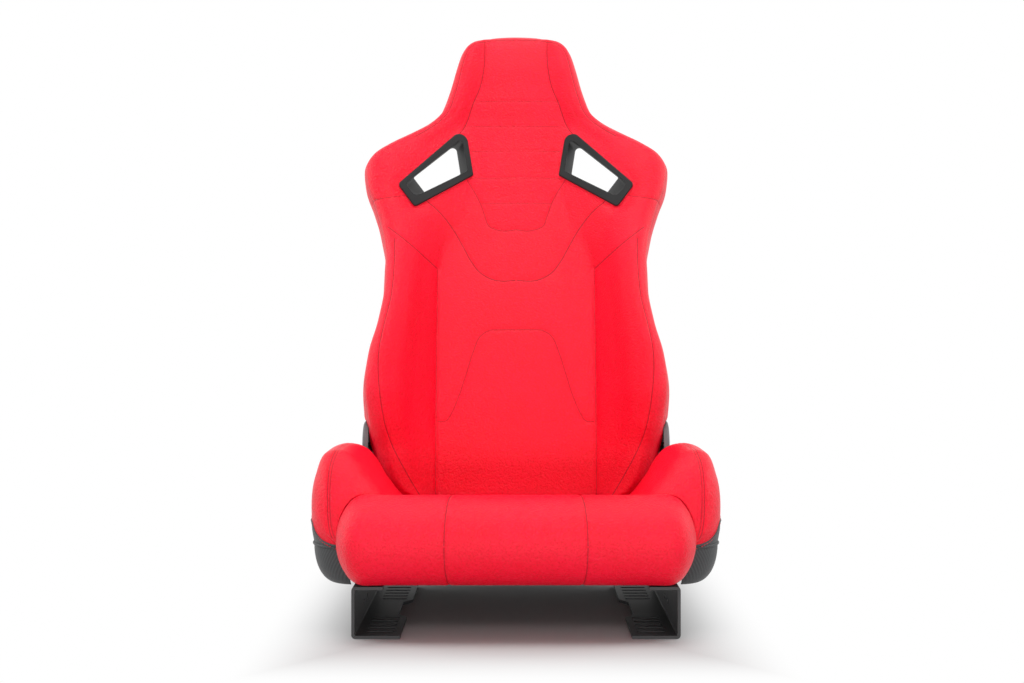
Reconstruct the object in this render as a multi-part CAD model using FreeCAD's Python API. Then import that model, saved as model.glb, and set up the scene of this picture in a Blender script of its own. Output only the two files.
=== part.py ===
import FreeCAD, Part
import math
import os

# Racing seat with a reclining backrest, on a pair of slotted floor brackets.
# Millimetres. The seat faces -Y and +Z is up. Pieces called right are at +X, as seen from the front.
# The origin is at floor level, at the centre of the pattern of mounting slots.

Vector = FreeCAD.Vector
X_AXIS = Vector(1, 0, 0)
Z_AXIS = Vector(0, 0, 1)

# Clearances
RUNNING = 0.08            # radial, a shaft in its hole
TOUCH = 0.3               # between soft or moving neighbours
SWING_GAP = 1.5           # between the cushion and the bottom of the swinging backrest
SPARE = 1.0               # how far a cutter runs past the face it cuts

# Floor brackets, bent steel plate
BRACKET_LENGTH = 390.0
BRACKET_SPAN = 475.0      # outer face to outer face
BRACKET_HEIGHT = 75.0
PLATE = 4.5
BEND_RADIUS = 5.5         # outside of the bend
FOOT_FLANGE = 70.0
TOP_FLANGE = 45.0
NOTCH_DEPTH = 14.0
NOTCH_LENGTH = 91.0       # at its full depth
NOTCH_SLOPE = 22.0
SLOT_LENGTH = 42.0
SLOT_WIDTH = 9.0
SLOT_PITCH = 24.0
SLOT_ROWS = 5
SLOT_GROUPS = 240.0       # front group to rear group
SLOT_EDGE = 9.5           # from the flange's inner edge to the slot's end
WEB_SLOTS = (-59.0, -18.0, 48.0)
WEB_SLOT_HEIGHT = 27.0
WEB_SLOT_LENGTH = 16.0
WEB_SLOT_WIDTH = 8.5

# Bolts that hold the frame on the brackets
BOLT_RADIUS = 4.0
BOLT_HOLE = 4.5
BOLT_HEAD = 13.0          # across flats
BOLT_HEAD_HEIGHT = 5.3
BOLT_LENGTH = 20.0
BOLT_INSET = 27.0         # from the bracket's outer face
WASHER_RADIUS = 8.0
WASHER = 1.6

# Cushion frame: two cross tubes between two pressed side plates
CROSS_WIDTH = 40.0
CROSS_HEIGHT = 20.0
CROSS_WALL = 2.0
CROSS_FRONT_Y = -115.0
CROSS_REAR_Y = 125.0
BOSS_RADIUS = 8.0
BOSS_HEIGHT = 12.0
SIDE_PLATE = 3.0
SIDE_PLATE_ROOM = 51.0    # from the skirt's outside to the plate's inner face
SIDE_PLATE_FRONT = -150.0
SIDE_PLATE_REAR = 256.0
SIDE_PLATE_BOTTOM = 79.0
SIDE_PLATE_TOP = 120.0
SIDE_PLATE_EYE = 43.0     # radius round the hinge
SIDE_PLATE_NECK = 40.4    # half its width just under the eye
SIDE_PLATE_RISE = 190.0   # where the plate starts to climb to the hinge
SIDE_PLATE_CORNER = 14.0
LIGHTENING_RADIUS = 9.0
LIGHTENING_LENGTH = 60.0
STRAP_WIDTH = 46.0
STRAP = 2.0
STRAP_PITCH = 68.0
STRAP_COUNT = 5
STRAP_HOOK = 14.0

# Hinge of the backrest
PIVOT_Y = 262.0
PIVOT_Z = 205.0
RECLINE = 13.0            # degrees, at rest
REACH = 72.0              # radius of the rounded bottom of the backrest
WING_REACH = 100.0        # room that the backrest's wings need round the hinge
UPPER_PLATE = 4.0
DISC_RADIUS = 40.0
DISC_THICK = 11.0
DISC_CORE = 34.0
DISC_RIM = 4.0            # depth of the cup in the fixed half
DISC_GAP = 1.0            # between the upper plate and the fixed half
ROD_RADIUS = 6.0
ROD_TUNNEL = 9.0

# Plastic cover over each hinge
COVER_REACH = 15.0        # its outer face, from the side plate's inner face
COVER_GAP = 2.0           # from the side plate
COVER_WALL = 2.5
COVER_FRONT = 60.0        # from the hinge
COVER_BACK = 46.0
COVER_TOP = 77.0
COVER_CORNER = 40.0
COVER_FOOT_CORNER = 12.0
COVER_POST = 4.5
COVER_POST_CIRCLE = 33.0
COVER_SCREW = 4.2
COVER_SCREW_HEIGHT = 2.2
COVER_POST_ANGLES = (90.0, 210.0, 330.0)
COVER_LIFT = 1.0          # above the skirt
COVER_HOLE = 8.0          # radius of the hole for the rod

# Recline levers
LEVER = 4.0
LEVER_GAP = 2.0           # from the cover
LEVER_HEIGHT = 18.0
LEVER_HUB = 13.0
LEVER_STEP = 3.0          # how far outside the skirt its arm runs
LEVER_JOGGLE_START = 14.0
LEVER_JOGGLE_END = 44.0
LEVER_MITRE = 1.0         # keeps the slanted part as thick as the rest
LEVER_LENGTH = 138.0
LEVER_DROOP = 8.0         # degrees
GRIP_LENGTH = 72.0
GRIP_THICK = 12.0
GRIP_HEIGHT = 26.0
GRIP_ROUND = 5.0
LEVER_SCREW = 6.5
LEVER_SCREW_HEIGHT = 4.0

# Cushion
CUSHION_BASE = 97.5
CUSHION_HALF = 185.0
CUSHION_CROWN = 4.0
CUSHION_TOP = ((-196.0, 199.0), (-120.0, 191.0), (-40.0, 178.0), (60.0, 165.0), (150.0, 155.0), (256.0, 148.0))
ROLL_Y = -189.0
ROLL_Z = 142.0
ROLL_RADIUS = 66.0
ROLL_SHORT = 41.0         # each end stops this far inside the skirt's side
ROLL_END = 45.0           # length of each rounded end
ROLL_SHOULDER = 34.0      # radius of the end's shoulder
ROLL_SEAM_X = 98.0
SEAM_WIDTH = 7.0
SEAM_DEPTH = 1.6

# Cushion bolsters, as stations from front to back, with the places across measured from the skirt's side:
# y, ridge, ridge height, widest point, height of the widest point, foot, inner height
BOLSTER_BASE = 131.0
BOLSTER_STATIONS = (
    (-189.0, -39.0, 196.0, -19.0, 166.0, -25.0, 150.0),
    (-180.0, -39.0, 232.0, -7.0, 170.0, -14.0, 165.0),
    (-163.0, -39.0, 257.0, 0.0, 172.0, -5.0, 178.0),
    (-130.0, -39.0, 268.0, 4.0, 172.0, -1.0, 186.0),
    (-60.0, -42.0, 270.5, 5.0, 172.0, 0.0, 181.0),
    (20.0, -47.0, 263.0, 3.0, 170.0, -2.0, 171.0),
    (90.0, -47.0, 249.0, -3.0, 166.0, -7.0, 163.0),
    (145.0, -45.0, 234.0, -11.0, 162.0, -15.0, 157.0),
    (183.0, -43.0, 214.0, -21.0, 158.0, -24.0, 153.0),
)
CREST_IN = (16.0, 6.0)        # where the ridge ends on its inner side: across, and down
CREST_OUT = (23.0, 5.0)
SLOPE_BULGE = 3.0
BOLSTER_SHOULDER = (0.77, 0.37)    # shares of the way from the ridge to the widest point
BOLSTER_TUCK = 0.25

# Skirts round the cushion's sides and back: outline at the top edge, and how far it draws in below
SKIRT_FRONT = -180.0
SKIRT_HALF = 301.0
SKIRT_TAPER_Y = 90.0
SKIRT_TAPER = 19.0        # narrower at the rear, on each side
SKIRT_REAR_Y = 240.0
SKIRT_BACK = 318.0
SKIRT_FRONT_CORNER = 62.0
SKIRT_BACK_CORNER = 58.0
SKIRT_SIDE_CORNER = 160.0
SKIRT_WALL = 6.0
SKIRT_TUCK = 17.0         # the front ends reach this far behind the roll's end
SKIRT_TOP = 126.0
SKIRT_DRAW = ((126.0, 0.0), (109.0, 1.5), (97.0, 4.5), (85.0, 10.0), (76.0, 17.5), (70.0, 32.0))
PIPING_RADIUS = 2.2
PIPING_TAIL = 20.0        # runs on behind the roll before it is cut

# Tray behind the cushion
PAN_BOTTOM = 82.0
PAN_TOP = 120.0
PAN_WALL = 2.5

# Backrest pad, as stations up the backrest from the hinge:
# height, half width, crest band, wing, half width of the insert, front of the insert
BACK_STATIONS = (
    (-74.0, 190.0, 38.0, 22.0, 140.0, 33.0),
    (-30.0, 217.0, 38.0, 33.0, 140.0, 36.0),
    (15.0, 247.0, 40.0, 39.0, 140.0, 39.0),
    (60.0, 262.5, 38.0, 58.0, 140.0, 42.0),
    (120.0, 268.5, 34.0, 77.0, 140.0, 45.0),
    (180.0, 260.0, 29.0, 80.0, 140.0, 46.0),
    (240.0, 244.0, 26.0, 74.0, 140.0, 45.0),
    (300.0, 235.5, 25.0, 66.0, 140.0, 42.0),
    (350.0, 235.0, 25.0, 60.0, 134.0, 38.0),
    (400.0, 243.0, 27.0, 54.0, 116.0, 35.0),
    (450.0, 258.0, 28.0, 49.0, 98.0, 33.0),
    (495.0, 274.5, 28.0, 46.0, 90.0, 32.0),
    (530.0, 278.5, 30.0, 44.0, 90.0, 32.0),
    (556.0, 267.0, 30.0, 40.0, 92.0, 32.0),
    (580.0, 235.0, 28.0, 33.0, 94.0, 32.0),
    (602.0, 194.5, 25.0, 25.0, 94.0, 33.0),
    (622.0, 163.0, 23.0, 18.0, 90.0, 34.0),
    (645.0, 140.5, 22.0, 14.0, 82.0, 37.0),
    (690.0, 122.5, 22.0, 11.0, 68.0, 42.0),
    (735.0, 111.0, 22.0, 9.0, 59.0, 46.0),
    (764.0, 102.5, 23.0, 7.0, 56.0, 46.0),
    (783.0, 88.0, 24.0, 3.0, 52.0, 41.0),
    (793.5, 61.0, 20.0, -7.0, 38.0, 26.0),
)
PAD_BACK = -18.0
INSERT_CROWN = 4.0
PAD_REAR_ROUND = 11.0
PAD_TURN = (0.38, 0.34)   # where the outer side turns to the crest, as shares of the band
PAD_INNER = (0.72, 0.84)  # points of the inner slope, as shares of its width and the wing's height
PAD_SLOPE = (0.36, 0.40)
INSERT_SPLIT = 138.0
HEAD_SPLIT = 420.0
HOLE_POCKET = 54.0        # radius of the pocket round each hinge disc
COVER_SWEEP = 86.0        # the pad is relieved inside this radius, beside the cover

# Hard-edged cover behind the pad
SHELL_WALL = 3.5
SHELL_INSET = 9.0         # from the pad's edge
SHELL_DEPTH = 58.0        # behind the hinge plane, in the middle
SHELL_SHOULDER = 20.0
SHELL_SHOULDER_DEPTH = 52.0
SHELL_BEND = (0.22, 0.72) # shares of the shoulder and its depth
SHELL_SEAT = 1.0          # the hollow starts this far behind the front edge

# Frame inside the backrest
TUBE_RADIUS = 11.0
TUBE_WALL = 2.0
TUBE_DEPTH = 31.0         # behind the hinge plane
HOOP_FOOT = 48.0
HOOP_KNEE = 150.0
HOOP_KNEE_ROUND = 300.0
HOOP_PATH = ((201.0, 345.0, 260.0), (226.0, 500.0, 90.0), (216.0, 563.0, 45.0),
             (86.0, 645.0, 60.0), (64.0, 748.0, 30.0))
LOWER_TUBE_HEIGHT = 95.0
UPPER_TUBE_HEIGHT = 432.0
CROSS_TUBE_RADIUS = 9.0
BACK_STRAP_HEIGHTS = (150.0, 215.0, 280.0, 345.0)
BACK_STRAP_WIDTH = 42.0
BACK_STRAP = 1.6
ARM_HEIGHT = 150.0
ARM_HALF = 5.0            # half the arm's width, about the hoop's line

# Harness openings: corners across and up the backrest, with a radius each
RIM_OUTLINE = ((93.0, 615.0, 15.0), (77.5, 522.0, 5.0), (181.5, 453.0, 6.0), (212.0, 493.0, 8.0))
RIM_INNER = ((98.5, 590.5, 6.0), (88.0, 528.5, 6.0), (180.0, 472.0, 8.0), (199.0, 494.0, 8.0))
REAR_INNER = ((114.7, 614.4, 8.0), (105.3, 555.6, 3.0), (171.0, 517.0, 3.0), (193.5, 547.0, 3.0))
RIM_FRONT = 38.0          # height of the rim's face above the hinge plane, at RIM_REF
RIM_REF = 80.0
RIM_SLOPE = 0.27
RIM_THICK = 7.0
RIM_EDGE = 2.0            # rounding of the rim's outer edge
RIM_FLAT = 1e-4           # an edge this near the face lies in it
RIM_ROOM = 28.0           # the foam is relieved this far in front of the rim's face
TUNNEL_WALL = 2.5
TUNNEL_EXTRA = 0.2        # share of its length by which its cutters run past each face
TUNNEL_JOINT = -30.0      # where the front and the rear bezel meet
REAR_RIM = 11.0
REAR_FACE = -61.0         # depth of the rear rim's face, at RIM_REF
REAR_SLOPE = 0.045
REAR_RIM_THICK = 5.0

BRACKET_OUT = BRACKET_SPAN / 2
BOLT_X = BRACKET_OUT - BOLT_INSET
ROLL_HALF = SKIRT_HALF - ROLL_SHORT
SKIRT_REAR_HALF = SKIRT_HALF - SKIRT_TAPER
SKIRT_WRAP = ROLL_HALF - SKIRT_TUCK
SIDE_PLATE_X = SKIRT_HALF - SIDE_PLATE_ROOM
SIDE_PLATE_OUT = SIDE_PLATE_X + SIDE_PLATE
DISC_FACE = SIDE_PLATE_X - DISC_THICK
UPPER_PLATE_OUT = DISC_FACE - DISC_GAP
UPPER_PLATE_IN = UPPER_PLATE_OUT - UPPER_PLATE
COVER_IN = SIDE_PLATE_OUT + COVER_GAP
COVER_OUT = SIDE_PLATE_X + COVER_REACH
LEVER_IN = COVER_OUT + LEVER_GAP
LEVER_OUT = LEVER_IN + LEVER
LEVER_ARM = SKIRT_HALF + LEVER_STEP
FAR = 1500.0


def line(a, b):
    return Part.LineSegment(a, b).toShape()


def arc(a, b, c):
    return Part.Arc(a, b, c).toShape()


def block(x0, x1, y0, y1, z0, z1):
    return Part.makeBox(x1 - x0, y1 - y0, z1 - z0, Vector(x0, y0, z0))


def bar_x(radius, x0, x1, y=PIVOT_Y, z=PIVOT_Z):
    """A round bar along X."""
    return Part.makeCylinder(radius, x1 - x0, Vector(x0, y, z), X_AXIS)


def mirrored(shape):
    return shape.mirror(Vector(0, 0, 0), X_AXIS)


def rounded_wire(corners, place):
    """A closed outline with one line and one arc per corner. place maps its two numbers to a point."""
    points = []
    for before, here, after in zip(corners[-1:] + corners[:-1], corners, corners[1:] + corners[:1]):
        corner = Vector(here[0], here[1], 0)
        to_before = (Vector(before[0], before[1], 0) - corner).normalize()
        to_after = (Vector(after[0], after[1], 0) - corner).normalize()
        half = to_before.getAngle(to_after) / 2
        middle = (to_before + to_after).normalize()
        reach = here[2] / math.tan(half)
        centre = corner + middle * (here[2] / math.sin(half))
        points.append((corner + to_before * reach, centre - middle * here[2], corner + to_after * reach))
    edges = []
    for (start, peak, end), following in zip(points, points[1:] + points[:1]):
        edges.append(arc(*[place(p.x, p.y) for p in (start, peak, end)]))
        edges.append(line(place(end.x, end.y), place(following[0].x, following[0].y)))
    return Part.Wire(edges)


def bent_tube(corners, place, radius, bore=0.0):
    """A tube of straight runs and tangent bends in one plane, with one bend per inner corner."""

    def section(at, direction):
        disc = Part.Face(Part.Wire(Part.makeCircle(radius, at, direction)))
        if bore:
            disc = disc.cut(Part.Face(Part.Wire(Part.makeCircle(bore, at, direction))))
        return disc

    pieces = []
    last = Vector(corners[0][0], corners[0][1], 0)
    for before, here, after in zip(corners, corners[1:], corners[2:]):
        corner = Vector(here[0], here[1], 0)
        to_before = (Vector(before[0], before[1], 0) - corner).normalize()
        to_after = (Vector(after[0], after[1], 0) - corner).normalize()
        turn = math.pi - to_before.getAngle(to_after)
        start = corner + to_before * (here[2] * math.tan(turn / 2))
        end = corner + to_after * (here[2] * math.tan(turn / 2))
        centre = corner + (to_before + to_after).normalize() * (here[2] / math.cos(turn / 2))
        run = place(start.x, start.y) - place(last.x, last.y)
        pieces.append(section(place(last.x, last.y), run).extrude(run))
        middle = place(centre.x, centre.y)
        spokes = place(start.x, start.y) - middle, place(end.x, end.y) - middle
        pieces.append(section(place(start.x, start.y), run).revolve(middle, spokes[0].cross(spokes[1]),
                                                                    math.degrees(turn)))
        last = end
    run = place(corners[-1][0], corners[-1][1]) - place(last.x, last.y)
    pieces.append(section(place(last.x, last.y), run).extrude(run))
    return pieces[0].fuse(pieces[1:]).removeSplitter()


def slot_z(x, y, length, width, z0, z1):
    """A slot-shaped cutter along X, standing in Z."""
    half = length / 2 - width / 2
    cutter = block(x - half, x + half, y - width / 2, y + width / 2, z0, z1)
    for side in (-half, half):
        cutter = cutter.fuse(Part.makeCylinder(width / 2, z1 - z0, Vector(x + side, y, z0)))
    return cutter


def slot_x(y, z, length, width, x0, x1):
    """A slot-shaped cutter along Y, standing in X."""
    half = length / 2 - width / 2
    cutter = block(x0, x1, y - half, y + half, z - width / 2, z + width / 2)
    for side in (-half, half):
        cutter = cutter.fuse(bar_x(width / 2, x0, x1, y + side, z))
    return cutter


def bracket():
    """The +X floor bracket: a slotted foot, an upright web and a lip that carries the frame."""
    out, height, bend, inner_bend = BRACKET_OUT, BRACKET_HEIGHT, BEND_RADIUS, BEND_RADIUS - PLATE
    diagonal = 1 - math.sqrt(0.5)
    foot_in, lip_in = out - FOOT_FLANGE, out - TOP_FLANGE
    web_in = out - PLATE
    y = -BRACKET_LENGTH / 2

    def at(x, z):
        return Vector(x, y, z)

    edges = [
        line(at(foot_in, 0), at(out - bend, 0)),
        arc(at(out - bend, 0), at(out - bend * diagonal, bend * diagonal), at(out, bend)),
        line(at(out, bend), at(out, height - bend)),
        arc(at(out, height - bend), at(out - bend * diagonal, height - bend * diagonal), at(out - bend, height)),
        line(at(out - bend, height), at(lip_in, height)),
        line(at(lip_in, height), at(lip_in, height - PLATE)),
        line(at(lip_in, height - PLATE), at(web_in - inner_bend, height - PLATE)),
        arc(at(web_in - inner_bend, height - PLATE),
            at(web_in - inner_bend * diagonal, height - PLATE - inner_bend * diagonal),
            at(web_in, height - PLATE - inner_bend)),
        line(at(web_in, height - PLATE - inner_bend), at(web_in, PLATE + inner_bend)),
        arc(at(web_in, PLATE + inner_bend),
            at(web_in - inner_bend * diagonal, PLATE + inner_bend * diagonal),
            at(web_in - inner_bend, PLATE)),
        line(at(web_in - inner_bend, PLATE), at(foot_in, PLATE)),
        line(at(foot_in, PLATE), at(foot_in, 0)),
    ]
    plate = Part.Face(Part.Wire(edges)).extrude(Vector(0, BRACKET_LENGTH, 0))

    half, slope = NOTCH_LENGTH / 2, NOTCH_SLOPE
    notch = Part.makePolygon([
        Vector(foot_in - SPARE, -half - slope, -SPARE), Vector(foot_in, -half - slope, -SPARE),
        Vector(foot_in + NOTCH_DEPTH, -half, -SPARE), Vector(foot_in + NOTCH_DEPTH, half, -SPARE),
        Vector(foot_in, half + slope, -SPARE), Vector(foot_in - SPARE, half + slope, -SPARE),
        Vector(foot_in - SPARE, -half - slope, -SPARE)])
    cutters = [Part.Face(notch).extrude(Vector(0, 0, PLATE + 2 * SPARE))]
    slot_at = foot_in + SLOT_EDGE + SLOT_LENGTH / 2
    for group in (-SLOT_GROUPS / 2, SLOT_GROUPS / 2):
        for row in range(SLOT_ROWS):
            along = group + (row - (SLOT_ROWS - 1) / 2) * SLOT_PITCH
            cutters.append(slot_z(slot_at, along, SLOT_LENGTH, SLOT_WIDTH, -SPARE, PLATE + SPARE))
    for along in WEB_SLOTS:
        cutters.append(slot_x(along, WEB_SLOT_HEIGHT, WEB_SLOT_LENGTH, WEB_SLOT_WIDTH,
                              web_in - SPARE, out + SPARE))
    for along in (CROSS_FRONT_Y, CROSS_REAR_Y):
        under = Vector(BOLT_X, along, height - PLATE - SPARE)
        cutters.append(Part.makeCylinder(BOLT_HOLE, PLATE + 2 * SPARE, under))
    return plate.cut(cutters)


def bracket_bolts():
    """Four hexagon bolts from below, and their washers."""
    bolts, washers = [], []
    under = BRACKET_HEIGHT - PLATE
    for x in (-BOLT_X, BOLT_X):
        for y in (CROSS_FRONT_Y, CROSS_REAR_Y):
            ring = Part.makeCylinder(WASHER_RADIUS, WASHER, Vector(x, y, under - WASHER))
            washers.append(ring.cut(Part.makeCylinder(BOLT_HOLE, WASHER, Vector(x, y, under - WASHER))))
            head_at = under - WASHER - BOLT_HEAD_HEIGHT
            radius = BOLT_HEAD / math.sqrt(3)
            corners = [Vector(x + radius * math.cos(math.radians(60 * k)),
                              y + radius * math.sin(math.radians(60 * k)), head_at) for k in range(7)]
            head = Part.Face(Part.makePolygon(corners)).extrude(Vector(0, 0, BOLT_HEAD_HEIGHT))
            shank = Part.makeCylinder(BOLT_RADIUS, BOLT_LENGTH, Vector(x, y, head_at + BOLT_HEAD_HEIGHT))
            bolts.append(head.fuse(shank).removeSplitter())
    return Part.makeCompound(bolts), Part.makeCompound(washers)


def cross_tube(y):
    """A rectangular tube across the frame, with a threaded boss over each bracket bolt."""
    half = CROSS_WIDTH / 2
    base, top = BRACKET_HEIGHT, BRACKET_HEIGHT + CROSS_HEIGHT
    tube = block(-SIDE_PLATE_X, SIDE_PLATE_X, y - half, y + half, base, top)
    tube = tube.cut(block(-SIDE_PLATE_X, SIDE_PLATE_X, y - half + CROSS_WALL, y + half - CROSS_WALL,
                          base + CROSS_WALL, top - CROSS_WALL))
    for x in (-BOLT_X, BOLT_X):
        tube = tube.fuse(Part.makeCylinder(BOSS_RADIUS, BOSS_HEIGHT, Vector(x, y, base)))
    depth = CROSS_HEIGHT - CROSS_WALL - SPARE
    bores = [Part.makeCylinder(BOLT_RADIUS + RUNNING, depth, Vector(x, y, base - SPARE)) for x in (-BOLT_X, BOLT_X)]
    return tube.cut(bores)


def side_plate():
    """The +X pressed plate: low along the cushion, raised to an eye round the hinge."""

    def at(y, z):
        return Vector(SIDE_PLATE_X, y, z)

    outline = rounded_wire(((SIDE_PLATE_FRONT, SIDE_PLATE_BOTTOM, SIDE_PLATE_CORNER),
                            (SIDE_PLATE_REAR, SIDE_PLATE_BOTTOM, SIDE_PLATE_CORNER),
                            (PIVOT_Y + SIDE_PLATE_NECK, PIVOT_Z, SIDE_PLATE_CORNER),
                            (PIVOT_Y - SIDE_PLATE_NECK, PIVOT_Z, SIDE_PLATE_CORNER),
                            (SIDE_PLATE_RISE, SIDE_PLATE_TOP, SIDE_PLATE_CORNER),
                            (SIDE_PLATE_FRONT, SIDE_PLATE_TOP, SIDE_PLATE_CORNER)), at)
    plate = Part.Face(outline).extrude(Vector(SIDE_PLATE, 0, 0))
    plate = plate.fuse(bar_x(SIDE_PLATE_EYE, SIDE_PLATE_X, SIDE_PLATE_OUT)).removeSplitter()
    middle = (SIDE_PLATE_BOTTOM + SIDE_PLATE_TOP) / 2
    inner, outer = SIDE_PLATE_X - SPARE, SIDE_PLATE_OUT + SPARE
    return plate.cut([slot_x(0, middle, LIGHTENING_LENGTH, 2 * LIGHTENING_RADIUS, inner, outer),
                      bar_x(ROD_RADIUS + RUNNING, inner, outer)])


def cushion_straps():
    """Elastic straps from the front tube to the rear tube, with their ends turned down."""
    base = BRACKET_HEIGHT + CROSS_HEIGHT
    front = CROSS_FRONT_Y - CROSS_WIDTH / 2
    rear = CROSS_REAR_Y + CROSS_WIDTH / 2
    straps = []
    for k in range(STRAP_COUNT):
        x = (k - (STRAP_COUNT - 1) / 2) * STRAP_PITCH
        left, right = x - STRAP_WIDTH / 2, x + STRAP_WIDTH / 2
        strap = block(left, right, front - STRAP, rear + STRAP, base, base + STRAP)
        for y in (front - STRAP, rear):
            strap = strap.fuse(block(left, right, y, y + STRAP, base - STRAP_HOOK, base + STRAP))
        straps.append(strap.removeSplitter())
    return Part.makeCompound(straps)


def roll_solid(grow=0.0):
    """The front roll: a long pillow with rounded ends and a sewn channel at each seam."""
    straight = ROLL_HALF - ROLL_END
    radius, end, shoulder = ROLL_RADIUS + grow, ROLL_END + grow, ROLL_SHOULDER
    drop = radius - shoulder
    dome = (end ** 2 + drop ** 2 - shoulder ** 2) / (2 * (end - shoulder))
    turn = math.atan2(drop, dome - end)
    half = SEAM_WIDTH / 2

    def at(x, r):
        return Vector(x, ROLL_Y, ROLL_Z + r)

    def seam(x):
        return arc(at(x - half, radius), at(x, radius - SEAM_DEPTH), at(x + half, radius))

    def shoulder_at(angle):
        return at(straight + shoulder * math.cos(angle), drop + shoulder * math.sin(angle))

    def dome_at(angle):
        return at(straight + end - dome + dome * math.cos(angle), dome * math.sin(angle))

    profile = [line(at(0, radius), at(ROLL_SEAM_X - half, radius)),
               seam(ROLL_SEAM_X),
               line(at(ROLL_SEAM_X + half, radius), at(straight, radius)),
               arc(at(straight, radius), shoulder_at((math.pi / 2 + turn) / 2), shoulder_at(turn)),
               arc(shoulder_at(turn), dome_at(turn / 2), dome_at(0)),
               line(dome_at(0), at(0, 0)),
               line(at(0, 0), at(0, radius))]
    side = Part.Face(Part.Wire(profile)).revolve(at(0, 0), X_AXIS, 360)
    return side.fuse(mirrored(side)).removeSplitter()


def cushion_centre():
    """The seat foam between the bolsters: it falls to the rear and is crowned across."""
    sections = []
    for y, top in CUSHION_TOP:
        right, left = Vector(CUSHION_HALF, y, top), Vector(-CUSHION_HALF, y, top)
        low_right, low_left = Vector(CUSHION_HALF, y, CUSHION_BASE), Vector(-CUSHION_HALF, y, CUSHION_BASE)
        sections.append(Part.Wire([arc(left, Vector(0, y, top + CUSHION_CROWN), right),
                                   line(right, low_right), line(low_right, low_left), line(low_left, left)]))
    foam = Part.makeLoft(sections, True)
    return foam.cut([roll_solid(TOUCH), bar_x(REACH + SWING_GAP, -FAR, FAR)])


def cushion_bolster():
    """The +X bolster: a tall wing with a rounded nose, hollowed at the back for the backrest's wing."""
    inner = CUSHION_HALF + TOUCH
    sections = []
    for y, ridge, ridge_z, widest, wide_z, foot_at, inner_z in BOLSTER_STATIONS:
        ridge_x, wide_x, foot_x = SKIRT_HALF + ridge, SKIRT_HALF + widest, SKIRT_HALF + foot_at

        def at(x, z):
            return Vector(x, y, z)

        foot_in, seam = at(inner, BOLSTER_BASE), at(inner, inner_z)
        crest_in = at(ridge_x - CREST_IN[0], ridge_z - CREST_IN[1])
        crest_out = at(ridge_x + CREST_OUT[0], ridge_z - CREST_OUT[1])
        slope = at((inner + crest_in.x) / 2 + SLOPE_BULGE, (inner_z + crest_in.z) / 2 + SLOPE_BULGE)
        shoulder = at(crest_out.x + BOLSTER_SHOULDER[0] * (wide_x - crest_out.x),
                      crest_out.z + BOLSTER_SHOULDER[1] * (wide_z - crest_out.z))
        tuck = at(wide_x - BOLSTER_TUCK * (wide_x - foot_x), (wide_z + BOLSTER_BASE) / 2)
        wide, foot = at(wide_x, wide_z), at(foot_x, BOLSTER_BASE)
        sections.append(Part.Wire([line(foot_in, seam), arc(seam, slope, crest_in),
                                   arc(crest_in, at(ridge_x, ridge_z), crest_out), arc(crest_out, shoulder, wide),
                                   arc(wide, tuck, foot), line(foot, foot_in)]))
    foam = Part.makeLoft(sections, True)
    return foam.cut([roll_solid(TOUCH), bar_x(WING_REACH, -FAR, COVER_IN + 2 * TOUCH)])


def skirt_outline(inset, z):
    """The cushion's outline from above, drawn in by inset."""
    side, rear_side = SKIRT_HALF - inset, SKIRT_REAR_HALF - inset
    front, back = SKIRT_FRONT + inset, SKIRT_BACK - inset
    right = [(side, front, SKIRT_FRONT_CORNER - inset), (side, SKIRT_TAPER_Y, SKIRT_SIDE_CORNER),
             (rear_side, SKIRT_REAR_Y, SKIRT_SIDE_CORNER), (rear_side, back, SKIRT_BACK_CORNER - inset)]
    left = [(-x, y, radius) for x, y, radius in reversed(right)]
    return rounded_wire(tuple(right + left), lambda x, y: Vector(x, y, z))


def skirt_form(inset, spare=0.0):
    """The skirt's tapering form, drawn in by inset. Spare moves its top up and its bottom down."""
    (top, top_draw), (bottom, bottom_draw) = SKIRT_DRAW[0], SKIRT_DRAW[-1]
    levels = ((top + spare, top_draw),) + SKIRT_DRAW[1:-1] + ((bottom - spare, bottom_draw),)
    return Part.makeLoft([skirt_outline(draw + inset, z) for z, draw in levels], True)


def side_skirt():
    """The +X half of the skirt: it wraps the front corner, the side and half of the back."""
    middle = block(-FAR, TOUCH / 2, -FAR, FAR, -FAR, FAR)
    behind_roll = block(-FAR, SKIRT_WRAP, -FAR, 0, -FAR, FAR)
    return skirt_form(0).cut([skirt_form(SKIRT_WALL, SPARE), middle, behind_roll, roll_solid(TOUCH)])


def piping():
    """The +X welt cord between bolster and skirt, from behind the roll to the hinge cover."""
    height = (SKIRT_TOP + BOLSTER_BASE) / 2
    end_y = PIVOT_Y - COVER_FRONT - TOUCH
    share = (end_y - SKIRT_TAPER_Y) / (SKIRT_REAR_Y - SKIRT_TAPER_Y)
    end_x = SKIRT_HALF + share * (SKIRT_REAR_HALF - SKIRT_HALF)
    corners = ((SKIRT_WRAP - PIPING_TAIL, SKIRT_FRONT, 0), (SKIRT_HALF, SKIRT_FRONT, SKIRT_FRONT_CORNER),
               (SKIRT_HALF, SKIRT_TAPER_Y, SKIRT_SIDE_CORNER), (end_x, end_y, 0))
    cord = bent_tube(corners, lambda x, y: Vector(x, y, height), PIPING_RADIUS)
    return cord.cut([roll_solid(TOUCH), block(-FAR, SKIRT_WRAP, -FAR, FAR, -FAR, FAR)])


def rear_pan():
    """The moulded tray that closes the base behind the cushion, between the side plates and the skirts."""
    side = SIDE_PLATE_X - TOUCH
    front = CROSS_REAR_Y + CROSS_WIDTH / 2 + STRAP + TOUCH
    tray = skirt_form(SKIRT_WALL + TOUCH, SPARE).common(block(-side, side, front, FAR, PAN_BOTTOM, PAN_TOP))
    room = skirt_form(SKIRT_WALL + TOUCH + PAN_WALL, SPARE).common(
        block(-FAR, FAR, -FAR, FAR, PAN_BOTTOM + PAN_WALL, FAR))
    return tray.cut(room)


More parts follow.
